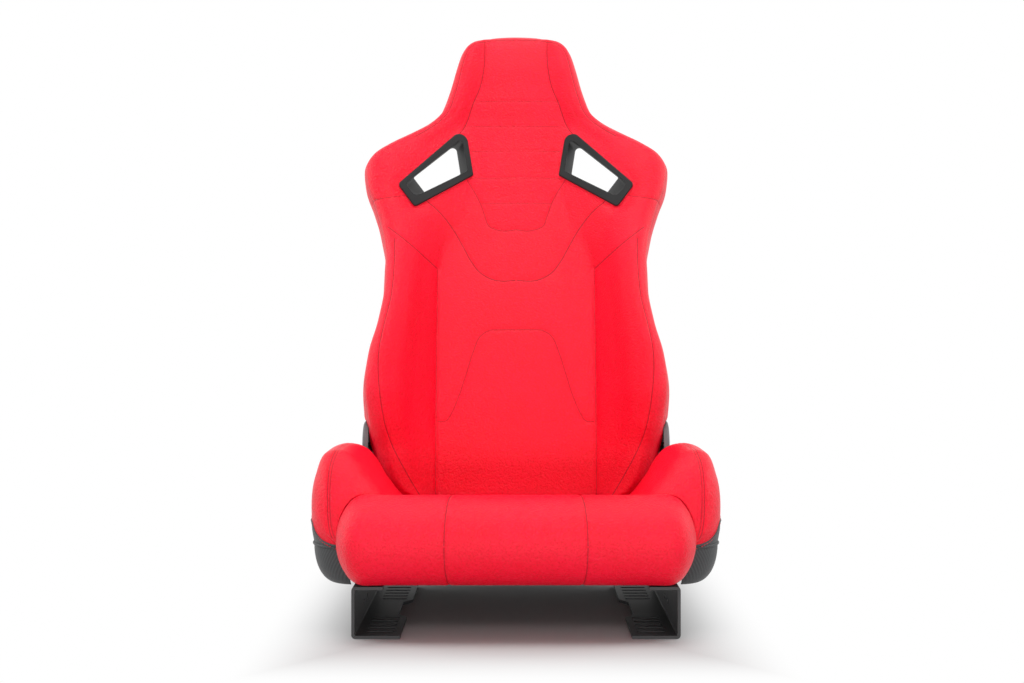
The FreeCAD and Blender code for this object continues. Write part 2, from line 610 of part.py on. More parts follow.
def hinge_disc_base():
    """The fixed half of the +X hinge, a cup on the side plate that holds the lock."""
    disc = bar_x(DISC_RADIUS, DISC_FACE, SIDE_PLATE_X)
    return disc.cut([bar_x(DISC_CORE + RUNNING, DISC_FACE - SPARE, DISC_FACE + DISC_RIM),
                     bar_x(ROD_RADIUS + TOUCH, DISC_FACE - SPARE, SIDE_PLATE_X + SPARE)])


def cover_outline(inset, x):
    """The hinge cover seen from the side."""
    front, back = PIVOT_Y - COVER_FRONT + inset, PIVOT_Y + COVER_BACK - inset
    bottom, top = SKIRT_TOP + COVER_LIFT + inset, PIVOT_Z + COVER_TOP - inset
    return rounded_wire(((front, bottom, COVER_FOOT_CORNER - inset), (back, bottom, COVER_FOOT_CORNER - inset),
                         (back, top, COVER_CORNER - inset), (front, top, COVER_CORNER - inset)),
                        lambda y, z: Vector(x, y, z))


def cover_posts():
    """Places of the cover's screw posts round the hinge."""
    return [(PIVOT_Y + COVER_POST_CIRCLE * math.cos(math.radians(angle)),
             PIVOT_Z + COVER_POST_CIRCLE * math.sin(math.radians(angle))) for angle in COVER_POST_ANGLES]


def hinge_cover():
    """The +X plastic cover: a shallow shell with three screw posts and a hole for the lever's rod."""
    depth = COVER_OUT - COVER_IN
    shell = Part.Face(cover_outline(0, COVER_IN)).extrude(Vector(depth, 0, 0))
    rim = [edge for edge in shell.Edges if all(abs(v.X - COVER_OUT) < 1e-6 for v in edge.Vertexes)]
    shell = shell.makeFillet(2 * COVER_WALL, rim)
    hollow = Part.Face(cover_outline(COVER_WALL, COVER_IN - SPARE)).extrude(
        Vector(depth + SPARE - COVER_WALL, 0, 0))
    shell = shell.cut(hollow)
    for y, z in cover_posts():
        shell = shell.fuse(bar_x(COVER_POST, SIDE_PLATE_OUT, COVER_OUT - COVER_WALL, y, z))
    return shell.cut(bar_x(COVER_HOLE, COVER_IN - SPARE, COVER_OUT + SPARE))


def cover_screws():
    """Three pan-head screws in each hinge cover."""
    heads = [bar_x(COVER_SCREW, COVER_OUT, COVER_OUT + COVER_SCREW_HEIGHT, y, z) for y, z in cover_posts()]
    return Part.makeCompound(heads + [mirrored(head) for head in heads])


def droop(shape):
    return shape.rotate(Vector(0, PIVOT_Y, PIVOT_Z), X_AXIS, LEVER_DROOP)


def lever_blade():
    """A flat bar that steps outwards past the cover, before it droops."""
    inner, step = LEVER_IN, LEVER_ARM
    start, end = PIVOT_Y - LEVER_JOGGLE_START, PIVOT_Y - LEVER_JOGGLE_END
    tip = PIVOT_Y - LEVER_LENGTH
    z = PIVOT_Z - LEVER_HEIGHT / 2
    outline = [(inner, PIVOT_Y), (inner, start), (step, end), (step, tip),
               (step + LEVER, tip), (step + LEVER, end + LEVER_MITRE), (inner + LEVER, start + LEVER_MITRE),
               (inner + LEVER, PIVOT_Y)]
    outline.append(outline[0])
    return Part.Face(Part.makePolygon([Vector(x, y, z) for x, y in outline])).extrude(Vector(0, 0, LEVER_HEIGHT))


def lever():
    """The +X lever, fixed on the end of the rod."""
    arm = lever_blade().fuse(bar_x(LEVER_HUB, LEVER_IN, LEVER_OUT)).removeSplitter()
    arm = arm.cut(bar_x(ROD_RADIUS, LEVER_IN - SPARE, LEVER_OUT + SPARE))
    droop(arm)
    return arm


def lever_grip():
    """The moulded grip on the lever's end."""
    middle = LEVER_ARM + LEVER / 2
    tip = PIVOT_Y - LEVER_LENGTH - LEVER
    grip = block(middle - GRIP_THICK / 2, middle + GRIP_THICK / 2, tip, tip + GRIP_LENGTH,
                 PIVOT_Z - GRIP_HEIGHT / 2, PIVOT_Z + GRIP_HEIGHT / 2)
    grip = grip.makeFillet(GRIP_ROUND, grip.Edges)
    grip = grip.cut(lever_blade())
    droop(grip)
    return grip


def upright(x, height, forward):
    """A point of the backrest before it leans: across, up from the hinge, forward of it."""
    return Vector(x, -forward, height)


def lean(shape):
    """Puts a piece of the upright backrest on the hinge, at its resting angle."""
    shape = shape.copy()
    shape.translate(Vector(0, PIVOT_Y, PIVOT_Z))
    shape.rotate(Vector(0, PIVOT_Y, PIVOT_Z), X_AXIS, -RECLINE)
    return shape


def hinge_bar(radius, x0, x1):
    """A round bar along the hinge line, in the upright backrest's place."""
    return bar_x(radius, x0, x1, 0, 0)


def rounded_bottom():
    """What the backrest loses at its bottom, so that it swings inside its reach."""
    return block(-FAR, FAR, -FAR, FAR, -FAR, 0).cut(hinge_bar(REACH, -FAR, FAR))


def pad_section(height, half, band, wing, insert, front):
    """One outline of the backrest's foam from above: flat back, rounded wings, crowned insert."""
    tip = front + wing
    crest = half - band
    rear_edge = (half - PAD_REAR_ROUND, PAD_BACK)
    widest = (half, (PAD_BACK + tip) / 2)
    turn = (half - PAD_TURN[0] * band, tip - PAD_TURN[1] * band)
    inner = (insert + PAD_INNER[0] * (crest - insert), front + PAD_INNER[1] * wing)
    slope = (insert + PAD_SLOPE[0] * (crest - insert), front + PAD_SLOPE[1] * wing)
    crease = (insert, front)

    def at(point, side=1):
        return upright(side * point[0], height, point[1])

    edges = [line(at(rear_edge, -1), at(rear_edge)),
             arc(at(rear_edge), at(widest), at(turn)),
             arc(at(turn), at((crest, tip)), at(inner)),
             arc(at(inner), at(slope), at(crease)),
             arc(at(crease), at((0, front + INSERT_CROWN)), at(crease, -1)),
             arc(at(crease, -1), at(slope, -1), at(inner, -1)),
             arc(at(inner, -1), at((crest, tip), -1), at(turn, -1)),
             arc(at(turn, -1), at(widest, -1), at(rear_edge, -1))]
    return Part.Wire(edges)


def grown(corners, distance):
    """The corners of an outline whose edges all move out by distance."""
    result = []
    for before, here, after in zip(corners[-1:] + corners[:-1], corners, corners[1:] + corners[:1]):
        corner = Vector(here[0], here[1], 0)
        to_before = (Vector(before[0], before[1], 0) - corner).normalize()
        to_after = (Vector(after[0], after[1], 0) - corner).normalize()
        middle = (to_before + to_after).normalize()
        corner = corner - middle * (distance / math.sin(to_before.getAngle(to_after) / 2))
        result.append((corner.x, corner.y, here[2] + distance))
    return tuple(result)


def through(x, share):
    """How far forward the harness passage is at x: share 0 is the front rim's face, 1 the rear rim's."""
    front = RIM_FRONT + RIM_SLOPE * (x - RIM_REF)
    rear = REAR_FACE + REAR_SLOPE * (x - RIM_REF)
    return front + share * (rear - front)


def tunnel(grow, extra=TUNNEL_EXTRA):
    """The tapering harness passage, run on past both faces, with its walls moved out by grow."""
    ends = []
    for share in (-extra, 1 + extra):
        corners = tuple(tuple(a + share * (b - a) for a, b in zip(front, rear))
                        for front, rear in zip(RIM_INNER, REAR_INNER))
        ends.append(rounded_wire(grown(corners, grow),
                                 lambda x, z, share=share: upright(x, z, through(x, share))))
    return Part.makeLoft(ends, True, True)


def slab(corners, share, low, high):
    """An outline between two depths, measured forward of the rim face that share names."""
    levels = [rounded_wire(corners, lambda x, z, lift=lift: upright(x, z, through(x, share) + lift))
              for lift in (low, high)]
    return Part.makeLoft(levels, True, True)


def rim(grow, low, high):
    return slab(grown(RIM_OUTLINE, grow), 0, low, high)


def rear_rim(grow, low, high):
    return slab(grown(REAR_INNER, REAR_RIM + grow), 1, low, high)


def softened(piece):
    """Rounds the edges that lie in the front rim's face."""
    edges = [edge for edge in piece.Edges if all(abs(v.Y + through(v.X, 0)) < RIM_FLAT for v in edge.Vertexes)]
    return piece.makeFillet(RIM_EDGE, edges)


def harness_bezels():
    """The +X front and rear bezels, which meet inside the backrest."""
    walls = tunnel(TUNNEL_WALL, 0)
    joint = -TUNNEL_JOINT
    face = softened(rim(0, -RIM_THICK, 0))
    front = walls.common(block(-FAR, FAR, -FAR, joint, -FAR, FAR)).fuse(face).cut(tunnel(0))
    rear = walls.common(block(-FAR, FAR, joint + TOUCH, FAR, -FAR, FAR)).fuse(rear_rim(0, 0, REAR_RIM_THICK))
    return front, rear.cut(tunnel(0))


def hinge_room():
    """What the pad and its rear cover leave free for the +X hinge, side plate and hinge cover."""
    beside = hinge_bar(REACH + SWING_GAP, UPPER_PLATE_IN - 2 * TOUCH, FAR)
    return [hinge_bar(HOLE_POCKET, UPPER_PLATE_IN - 2 * TOUCH, FAR),
            hinge_bar(COVER_SWEEP, COVER_IN - 2 * TOUCH, FAR),
            beside.common(block(-FAR, FAR, -FAR, FAR, -FAR, 0))]


def backrest_foam():
    """The whole foam before it is parted: lofted, then cut for the hinge, the rod and the harness."""
    foam = Part.makeLoft([pad_section(*station) for station in BACK_STATIONS], True)
    cutters = [rounded_bottom(), hinge_bar(ROD_TUNNEL, -FAR, FAR)]
    for cutter in [tunnel(TUNNEL_WALL + TOUCH), rim(TOUCH, -RIM_THICK - TOUCH, RIM_ROOM)] + hinge_room():
        cutters += [cutter, mirrored(cutter)]
    return foam.cut(cutters)


def backrest_pads():
    """The insert, the +X wing and the shoulders with the headrest."""
    foam = backrest_foam()
    insert = foam.common(block(-INSERT_SPLIT, INSERT_SPLIT, -FAR, FAR, -FAR, HEAD_SPLIT))
    wing = foam.common(block(INSERT_SPLIT + TOUCH, FAR, -FAR, FAR, -FAR, HEAD_SPLIT))
    head = foam.common(block(-FAR, FAR, -FAR, FAR, HEAD_SPLIT + TOUCH, FAR))
    return insert, wing, head


def shell_section(height, half, wall):
    """An outline of the rear cover, drawn in by wall. It is open towards the pad."""
    edge = half - SHELL_INSET - wall
    front = PAD_BACK - TOUCH + (SHELL_SEAT if wall else 0)
    shoulder = (edge - SHELL_SHOULDER, -SHELL_SHOULDER_DEPTH + wall)
    bend = (edge - SHELL_BEND[0] * SHELL_SHOULDER, wall / 2 - SHELL_BEND[1] * SHELL_SHOULDER_DEPTH)
    middle = (0, -SHELL_DEPTH + wall)

    def at(point, side=1):
        return upright(side * point[0], height, point[1])

    return Part.Wire([line(at((edge, front), -1), at((edge, front))),
                      arc(at((edge, front)), at(bend), at(shoulder)),
                      arc(at(shoulder), at(middle), at(shoulder, -1)),
                      arc(at(shoulder, -1), at(bend, -1), at((edge, front), -1))])


def backrest_shell():
    """The trimmed cover over the back of the frame."""
    outline = [(station[0], station[1]) for station in BACK_STATIONS]
    outside = Part.makeLoft([shell_section(height, half, 0) for height, half in outline], True)
    outside = outside.cut(rounded_bottom())
    inside = Part.makeLoft([shell_section(height, half, SHELL_WALL) for height, half in outline[:-1]], True)
    room = hinge_bar(REACH - SHELL_WALL, -FAR, FAR)
    inside = inside.cut(block(-FAR, FAR, -FAR, FAR, -FAR, 0).cut(room))
    cutters = [inside, hinge_bar(ROD_TUNNEL, -FAR, FAR)]
    rear_seat = rear_rim(TOUCH, -REAR_RIM_THICK, REAR_RIM_THICK + TOUCH)
    for cutter in [tunnel(TUNNEL_WALL + TOUCH), rear_seat] + hinge_room():
        cutters += [cutter, mirrored(cutter)]
    return outside.cut(cutters)


def hoop_corners():
    """The hoop's path on its +X side, from the hinge plate to the headrest."""
    foot_x = UPPER_PLATE_IN - TUBE_RADIUS
    return ((foot_x, HOOP_FOOT, 0), (foot_x, HOOP_KNEE, HOOP_KNEE_ROUND)) + HOOP_PATH


def hoop_x(height):
    """How far out the hoop's straight runs lie at a height."""
    corners = hoop_corners()
    for low, high in zip(corners, corners[1:]):
        if low[1] <= height <= high[1]:
            return low[0] + (height - low[1]) * (high[0] - low[0]) / (high[1] - low[1])
    return corners[-1][0]


def hoop_solid(bore=0.0):
    right = hoop_corners()
    corners = right + tuple((-x, z, bend) for x, z, bend in reversed(right))
    return bent_tube(corners, lambda x, z: upright(x, z, -TUBE_DEPTH), TUBE_RADIUS, bore)


def backrest_cross_tube(height):
    """A tube across the hoop, notched to fit it."""
    half = hoop_x(height)
    tube = bar_x(CROSS_TUBE_RADIUS, -half, half, TUBE_DEPTH, height)
    tube = tube.cut(bar_x(CROSS_TUBE_RADIUS - TUBE_WALL, -half, half, TUBE_DEPTH, height))
    return tube.cut(hoop_solid())


def backrest_straps():
    """Elastic straps across the front of the hoop."""
    rear = TUBE_DEPTH - TUBE_RADIUS
    straps = [block(-hoop_x(height), hoop_x(height), rear - BACK_STRAP, rear,
                    height - BACK_STRAP_WIDTH / 2, height + BACK_STRAP_WIDTH / 2)
              for height in BACK_STRAP_HEIGHTS]
    return Part.makeCompound(straps)


def upper_plate():
    """The +X hinge plate of the backrest: an eye with an arm up the hoop."""
    front, back = TUBE_DEPTH - ARM_HALF, TUBE_DEPTH + ARM_HALF
    arm = rounded_wire(((back, 0, ARM_HALF / 2), (back, ARM_HEIGHT, ARM_HALF / 2),
                        (front, ARM_HEIGHT, ARM_HALF / 2), (front, DISC_RADIUS, ARM_HALF),
                        (0, DISC_RADIUS - ARM_HALF, ARM_HALF), (0, 0, ARM_HALF / 2)),
                       lambda y, z: Vector(UPPER_PLATE_IN, y, z))
    plate = Part.Face(arm).extrude(Vector(UPPER_PLATE, 0, 0))
    plate = plate.fuse(hinge_bar(DISC_RADIUS, UPPER_PLATE_IN, UPPER_PLATE_OUT)).removeSplitter()
    return plate.cut(hinge_bar(ROD_RADIUS + TOUCH, UPPER_PLATE_IN - SPARE, UPPER_PLATE_OUT + SPARE))


def hinge_disc_back():
    """The moving half of the +X hinge, inside the fixed cup."""
    disc = hinge_bar(DISC_CORE, UPPER_PLATE_OUT, DISC_FACE + DISC_RIM - TOUCH)
    return disc.cut(hinge_bar(ROD_RADIUS + TOUCH, UPPER_PLATE_OUT - SPARE, DISC_FACE + DISC_RIM))


def save(shape, name):
    for solid in shape.Solids:
        if not solid.isValid():
            print("NOT VALID", name)
    shape.exportStep(os.path.join("parts", name + ".step"))
    print(name, len(shape.Solids), round(shape.Volume))


def save_pair(shape, name):
    """Saves a +X piece and its mirror image."""
    save(shape, name + "_right")
    save(mirrored(shape), name + "_left")


def main():
    os.makedirs("parts", exist_ok=True)
    save_pair(bracket(), "bracket")
    bolts, washers = bracket_bolts()
    save(bolts, "bracket_bolts")
    save(washers, "bracket_washers")
    save(cross_tube(CROSS_FRONT_Y), "cross_tube_front")
    save(cross_tube(CROSS_REAR_Y), "cross_tube_rear")
    save_pair(side_plate(), "side_plate")
    save(cushion_straps(), "cushion_straps")
    save(roll_solid(), "front_roll")
    save(cushion_centre(), "cushion_centre")
    save_pair(cushion_bolster(), "cushion_bolster")
    save_pair(side_skirt(), "side_skirt")
    save_pair(piping(), "piping")
    save(rear_pan(), "rear_pan")
    save_pair(hinge_disc_base(), "hinge_disc_base")
    save_pair(hinge_cover(), "hinge_cover")
    save(cover_screws(), "cover_screws")
    save(bar_x(ROD_RADIUS, -LEVER_OUT, LEVER_OUT), "lever_rod")
    save_pair(lever(), "lever")
    save_pair(lever_grip(), "lever_grip")
    screw = bar_x(LEVER_SCREW, LEVER_OUT, LEVER_OUT + LEVER_SCREW_HEIGHT)
    save(Part.makeCompound([screw, mirrored(screw)]), "lever_screws")
    insert, wing, head = backrest_pads()
    save(lean(insert), "backrest_insert")
    save_pair(lean(wing), "backrest_wing")
    save(lean(head), "headrest_pad")
    save(lean(backrest_shell()), "backrest_shell")
    front_bezel, rear_bezel = harness_bezels()
    save_pair(lean(front_bezel), "harness_bezel_front")
    save_pair(lean(rear_bezel), "harness_bezel_rear")
    save(lean(hoop_solid(TUBE_RADIUS - TUBE_WALL)), "backrest_hoop")
    save(lean(backrest_cross_tube(LOWER_TUBE_HEIGHT)), "backrest_tube_lower")
    save(lean(backrest_cross_tube(UPPER_TUBE_HEIGHT)), "backrest_tube_upper")
    save(lean(backrest_straps()), "backrest_straps")
    save_pair(lean(upper_plate()), "upper_plate")
    save_pair(lean(hinge_disc_back()), "hinge_disc_back")


main()
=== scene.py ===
import math
import bmesh
import bpy
import numpy as np
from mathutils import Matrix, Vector, kdtree
from mathutils.bvhtree import BVHTree


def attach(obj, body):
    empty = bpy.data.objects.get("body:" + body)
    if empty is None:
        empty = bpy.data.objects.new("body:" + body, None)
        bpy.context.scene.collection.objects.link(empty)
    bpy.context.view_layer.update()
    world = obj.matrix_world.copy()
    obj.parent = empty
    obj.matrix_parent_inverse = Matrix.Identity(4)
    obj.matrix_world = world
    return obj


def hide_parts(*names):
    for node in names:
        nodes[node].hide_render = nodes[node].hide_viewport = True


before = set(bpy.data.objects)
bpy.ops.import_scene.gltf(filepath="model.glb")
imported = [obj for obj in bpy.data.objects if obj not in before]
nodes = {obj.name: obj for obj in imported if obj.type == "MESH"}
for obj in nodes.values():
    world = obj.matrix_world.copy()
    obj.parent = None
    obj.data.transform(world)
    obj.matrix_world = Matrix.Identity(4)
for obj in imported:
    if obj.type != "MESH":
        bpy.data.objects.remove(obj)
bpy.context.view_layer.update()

# Floor brackets: 4.5 mm steel plate, laser cut with the adjustment slots and folded to a channel,
# then powder coated in a fine satin black. The side plates, cross tubes, hinge plates and the
# backrest's hoop are welded steel with the same coat.


class Value:
    """A shader socket that takes part in plain arithmetic."""

    def __init__(self, finish, socket):
        self.finish = finish
        self.socket = socket

    def math(self, operation, *others):
        return self.finish.node("ShaderNodeMath", {"operation": operation}, dict(enumerate((self,) + others)))

    def of(self, name):
        """Another output of the same node."""
        return Value(self.finish, self.socket.node.outputs[name])

    def __add__(self, other):
        return self.math("ADD", other)

    def __mul__(self, other):
        return self.math("MULTIPLY", other)

    def __rsub__(self, other):
        return self.finish.node("ShaderNodeMath", {"operation": "SUBTRACT"}, {0: other, 1: self})

    def __gt__(self, other):
        return self.math("GREATER_THAN", other)

    __radd__ = __add__


class Nodes:
    """A tree of shader nodes. Every node comes from one method."""

    def __init__(self, tree):
        self.tree = tree

    def feed(self, socket, value):
        if isinstance(value, Value):
            self.tree.links.new(value.socket, socket)
        else:
            socket.default_value = value

    def node(self, kind, settings=None, sockets=None):
        """Any shader node: its settings first, then the values or links of its sockets."""
        made = self.tree.nodes.new(kind)
        for key, value in (settings or {}).items():
            setattr(made, key, value)
        for key, value in (sockets or {}).items():
            named = made.inputs[key] if isinstance(key, int) else next(
                socket for socket in made.inputs if socket.name == key and socket.enabled)
            self.feed(named, value)
        return Value(self, next(socket for socket in made.outputs if socket.enabled))

    def seen(self):
        """One for rays that look at the studio's white, straight or by way of a gloss."""
        rays = self.node("ShaderNodeLightPath")
        camera, gloss, through = (rays.of("Is %s Ray" % kind) for kind in ("Camera", "Glossy", "Transmission"))
        return camera.math("MAXIMUM", gloss).math("MAXIMUM", through)


class Finish(Nodes):
    """A material for one of the seat's finishes, made of nodes."""

    def __init__(self, name, **constants):
        self.material = bpy.data.materials.new(name)
        self.material.use_nodes = True
        super().__init__(self.material.node_tree)
        self.shader = self.tree.nodes["Principled BSDF"]
        for socket, value in constants.items():
            self.shader.inputs[socket.replace("_", " ")].default_value = value

    def place(self):
        return self.node("ShaderNodeTexCoord").of("Object")

    def noise(self, scale, detail=2.0, roughness=0.5, vector=None):
        return self.node("ShaderNodeTexNoise", None, {"Vector": vector or self.place(), "Scale": scale,
                                                      "Detail": detail, "Roughness": roughness})

    def mix(self, amount, a, b):
        return self.node("ShaderNodeMix", {"data_type": "RGBA"}, {"Factor": amount, "A": a, "B": b})

    def eased(self, value, low, high):
        """Value taken from low..high to nought..one, with soft ends."""
        return self.node("ShaderNodeMapRange", {"interpolation_type": "SMOOTHSTEP"},
                         {"Value": value, "From Min": low, "From Max": high})

    def axes(self):
        return self.node("ShaderNodeSeparateXYZ", None, {"Vector": self.place()})

    def dress(self, colour, roughness, height, distance, strength):
        """Sets what changes over the surface: its colour, its gloss and the relief of its grain."""
        bump = self.node("ShaderNodeBump", None, {"Height": height, "Distance": distance, "Strength": strength})
        for socket, value in (("Base Color", colour), ("Roughness", roughness), ("Normal", bump)):
            self.feed(self.shader.inputs[socket], value)


def finished(finish, slot_name, *names):
    """Gives CAD nodes a finish; the slot name that it takes is not used."""
    for name in names:
        piece = nodes[name]
        piece.data.materials.clear()
        piece.data.materials.append(finish.material)


def both(name):
    return name + "_right", name + "_left"


SIDES = ("right", np.array([1, 1, 1])), ("left", np.array([-1, 1, 1]))


def powder_coat(name, colour, lighter, orange_peel):
    """Baked powder: satin, with an orange-peel skin and a little dust in soft patches."""
    coat = Finish(name, Specular_IOR_Level=0.42, Coat_Roughness=0.35)
    cloud = coat.noise(9.0, 4.0)
    speck = coat.noise(1400.0, 2.0, 0.7)
    coat.dress(coat.mix(coat.eased(cloud, 0.35, 0.7), colour, lighter), 0.44 + cloud * 0.14 + speck * 0.08,
               coat.noise(orange_peel, 3.0) + speck * 0.5, 0.00006, 0.6)
    return coat


bracket_coat = powder_coat("bracket_powder_coat", (0.022, 0.022, 0.023, 1), (0.034, 0.034, 0.035, 1), 520.0)
finished(bracket_coat, "black_steel", *both("bracket"))
frame_coat = powder_coat("frame_powder_coat", (0.016, 0.016, 0.017, 1), (0.028, 0.028, 0.029, 1), 640.0)
finished(frame_coat, "black_steel", "cross_tube_front", "cross_tube_rear", *both("side_plate"),
         "backrest_hoop", "backrest_tube_lower", "backrest_tube_upper", *both("upper_plate"))

# Fixings, hinge discs and the lever rod: steel parts with a bright zinc plating. The discs are pressed
# and stamped, the rod is turned, and the screws are bought in. They carry fine brush marks and a faint
# warm and cool tint from the passivation.

zinc = Finish("zinc_plating", Metallic=1.0, Specular_IOR_Level=0.5)
grain = zinc.noise(260.0, 3.0, 0.6)
tint = zinc.eased(zinc.noise(22.0, 3.0), 0.35, 0.65)
zinc.dress(zinc.mix(tint, (0.52, 0.52, 0.5, 1), (0.62, 0.64, 0.68, 1)), 0.26 + grain * 0.22,
           grain + zinc.noise(1500.0), 0.00004, 0.5)
finished(zinc, "zinc_steel", "bracket_bolts", "bracket_washers", "lever_rod", *both("hinge_disc_base"),
         *both("hinge_disc_back"))

black_oxide = Finish("screw_black", Metallic=0.9, Specular_IOR_Level=0.5)
black_oxide.dress(black_oxide.mix(black_oxide.noise(90.0, 3.0), (0.03, 0.03, 0.032, 1), (0.07, 0.07, 0.072, 1)),
                  0.34 + black_oxide.noise(400.0) * 0.2, black_oxide.noise(1200.0), 0.00004, 0.4)
finished(black_oxide, "zinc_steel", "cover_screws", "lever_screws")

# Elastic straps: rubber cords woven into a flat black band. Five run under the cushion and four
# across the hoop, hooked over the tubes, and the foam rests on them.


def webbing(name, along):
    """Woven band: ribs along it and a finer weft across it."""
    pitch = 0.0022
    band = Finish(name, Specular_IOR_Level=0.25)
    spot = band.axes()
    across, run = (spot.of("X"), spot.of("Y")) if along == "Y" else (spot.of("Z"), spot.of("X"))
    rib = (across * (2 * math.pi / pitch)).math("SINE")
    weft = (run * (2 * math.pi / (pitch * 0.6))).math("SINE")
    weave = rib * 0.6 + weft * 0.4
    band.dress(band.mix(band.eased(weave, -0.8, 0.9), (0.012, 0.012, 0.013, 1), (0.05, 0.05, 0.052, 1)),
               0.78 + band.noise(300.0) * 0.12, weave, 0.00025, 0.7)
    return band


finished(webbing("cushion_elastic", "Y"), "elastic", "cushion_straps")
finished(webbing("backrest_elastic", "X"), "elastic", "backrest_straps")

# Seat centre: a block of cold-cured foam, cut low at the back, under a sewn cover. The cover is red
# microfibre suede in three lengths whose seams go on from the front roll's seams, pulled down into
# the foam.

MM = 0.001
ROLL_Y, ROLL_Z, ROLL_RADIUS = -189.0, 142.0, 66.0
PIVOT_Y, PIVOT_Z = 262.0, 205.0
SUEDE = (0.90, 0.0003, 0.022, 1)
SUEDE_DEEP = (0.76, 0.0004, 0.011, 1)
SUEDE_NAP = (0.93, 0.0010, 0.028, 1)
SUEDE_TIP = (0.95, 0.0050, 0.041, 1)
# painted shade: SEAM_SHADE is the dark that seams and creases take where their grooves fall in shade;
# SEAM_PAINTED_SHADE is how much of it the cover itself takes there
SEAM_SHADE = (0.30, 0.002, 0.008, 1)
SEAM_PAINTED_SHADE = 0.3


def suede(name):
    """Microfibre suede: a fine pebbled grain under a dull gloss, brushed in soft patches, with painted shade along its
    seams.
    """
    cloth = Finish(name, Specular_IOR_Level=0.26)
    place = cloth.place()
    brushed = cloth.noise(8.0, 3.0, 0.55, place)
    pebble = cloth.noise(320.0, 2.0, 0.6, place)
    fibre = cloth.noise(1500.0, 2.0, 0.7, place)
    # painted shade: the seam attribute pulls the colour towards SEAM_SHADE along seams and creases
    seam = cloth.node("ShaderNodeAttribute", {"attribute_name": "seam"}).of("Fac")
    colour = cloth.mix(cloth.eased(brushed, 0.32, 0.70), SUEDE, SUEDE_NAP)
    colour = cloth.mix(cloth.eased(pebble, 0.50, 0.34) * 0.6, colour, SUEDE_DEEP)
    colour = cloth.mix(cloth.eased(pebble, 0.52, 0.68) * 0.6, colour, SUEDE_TIP)
    cloth.dress(cloth.mix(seam * 0.9, colour, SEAM_SHADE), 0.32 + brushed * 0.06 + fibre * 0.06,
                pebble + fibre * 0.25, 0.0022, 0.7)
    return cloth


suede_cloth = suede("red_suede_cover")


def eased(value):
    """From nought to one with soft ends."""
    value = np.clip(value, 0, 1)
    return value * value * (3 - 2 * value)


def bell(distance, width=1.5):
    """One on a line, and falling to nought beside it."""
    return np.exp(-(distance / width) ** 2)


def unit(vectors):
    return vectors / (np.linalg.norm(vectors, axis=-1, keepdims=True) + 1e-9)


def chord(radius, off):
    """Half the chord that a circle cuts from a line at some distance from its centre."""
    return np.sqrt(np.clip(radius ** 2 - off ** 2, 0, None))


def knots(*pairs):
    """Rows of key points, from the two coordinates of each."""
    return np.stack([np.stack(pair, axis=1) for pair in pairs], axis=1)


def placed(x, y, z):
    """Points from their three coordinates, spread to one shape."""
    return np.stack(np.broadcast_arrays(x, y, z), axis=-1)


def hermite(t, run, ends, slopes):
    """A smooth curve across one span, from the values and slopes at its ends."""
    return (ends[0] * (1 + 2 * t) * (1 - t) ** 2 + slopes[0] * run * t * (1 - t) ** 2
            + ends[1] * t * t * (3 - 2 * t) + slopes[1] * run * t * t * (t - 1))


def flowing(table, where):
    """Smooth values between stations, with no overshoot."""
    table = np.array(table, dtype=float)
    at, value = table[:, 0], table[:, 1:]
    run = np.diff(at)[:, None]
    rise = np.diff(value, axis=0) / run
    slope = np.zeros_like(value)
    same = rise[:-1] * rise[1:] > 0
    before, after = 2 * run[1:] + run[:-1], run[1:] + 2 * run[:-1]
    safe = np.where(same, rise[:-1], 1), np.where(same, rise[1:], 1)
    slope[1:-1] = np.where(same, (before + after) / (before / safe[0] + after / safe[1]), 0)
    slope[0], slope[-1] = rise[0], rise[-1]
    k = np.clip(np.searchsorted(at, where, side="right") - 1, 0, len(at) - 2)
    t = ((where - at[k]) / run[k, 0])[:, None]
    return hermite(t, run[k], (value[k], value[k + 1]), (slope[k], slope[k + 1]))


def threaded(keys, counts):
    """Rows of smooth curves through rows of key points, with a set number of steps in each span."""
    keys = np.asarray(keys, dtype=float)
    step = np.linalg.norm(np.diff(keys, axis=1), axis=2)[..., None] + 1e-6
    rise = np.diff(keys, axis=1) / step
    slope = np.empty_like(keys)
    slope[:, 1:-1] = (rise[:, :-1] * step[:, 1:] + rise[:, 1:] * step[:, :-1]) / (step[:, 1:] + step[:, :-1])
    slope[:, 0] = (3 * rise[:, 0] - slope[:, 1]) / 2
    slope[:, -1] = (3 * rise[:, -1] - slope[:, -2]) / 2
    spans = []
    for k, count in enumerate(counts):
        t = np.linspace(0, 1, count, endpoint=False)[None, :, None]
        here, there = slice(k, k + 1), slice(k + 1, k + 2)
        spans.append(hermite(t, step[:, here], (keys[:, here], keys[:, there]), (slope[:, here], slope[:, there])))
    spans.append(keys[:, -1:])
    return np.concatenate(spans, axis=1)


def facing(rings):
    """Outward directions of a skin that is rows of closed rings."""
    along = np.gradient(rings, axis=0)
    around = (np.roll(rings, -1, axis=1) - np.roll(rings, 1, axis=1)) / 2
    out = unit(np.cross(around, along))
    return out if (out * (rings - rings.mean(axis=1, keepdims=True))).sum() > 0 else -out


def nearness(rings, lines):
    """For every point of a skin, how far it is from the nearest of some sewn lines."""
    spots = np.concatenate(lines)
    tree = kdtree.KDTree(len(spots))
    for k, spot in enumerate(spots):
        tree.insert(spot, k)
    tree.balance()
    return np.array([tree.find(spot)[2] for spot in rings.reshape(-1, 3)]).reshape(rings.shape[:2])


def lengths(line):
    """How far along a line each of its points is."""
    return np.concatenate([[0], np.cumsum(np.linalg.norm(np.diff(line, axis=0), axis=1))])


def picked(line, reach, where):
    """The places of a line, or the directions that go with it, at some lengths along it."""
    return np.stack([np.interp(where, reach, column) for column in np.asarray(line).T], axis=-1)


def dense(line, pitch=0.8):
    """A polyline with points close together."""
    reach = lengths(line)
    return picked(line, reach, np.linspace(0, reach[-1], max(2, int(reach[-1] / pitch))))


def curved(points, pitch=0.8):
    """A smooth sewn line through a few points."""
    points = np.asarray(points, dtype=float)
    if len(points) == 2:
        return dense(np.linspace(*points, 13), pitch)
    return dense(threaded(points[None], [12] * (len(points) - 1))[0], pitch)


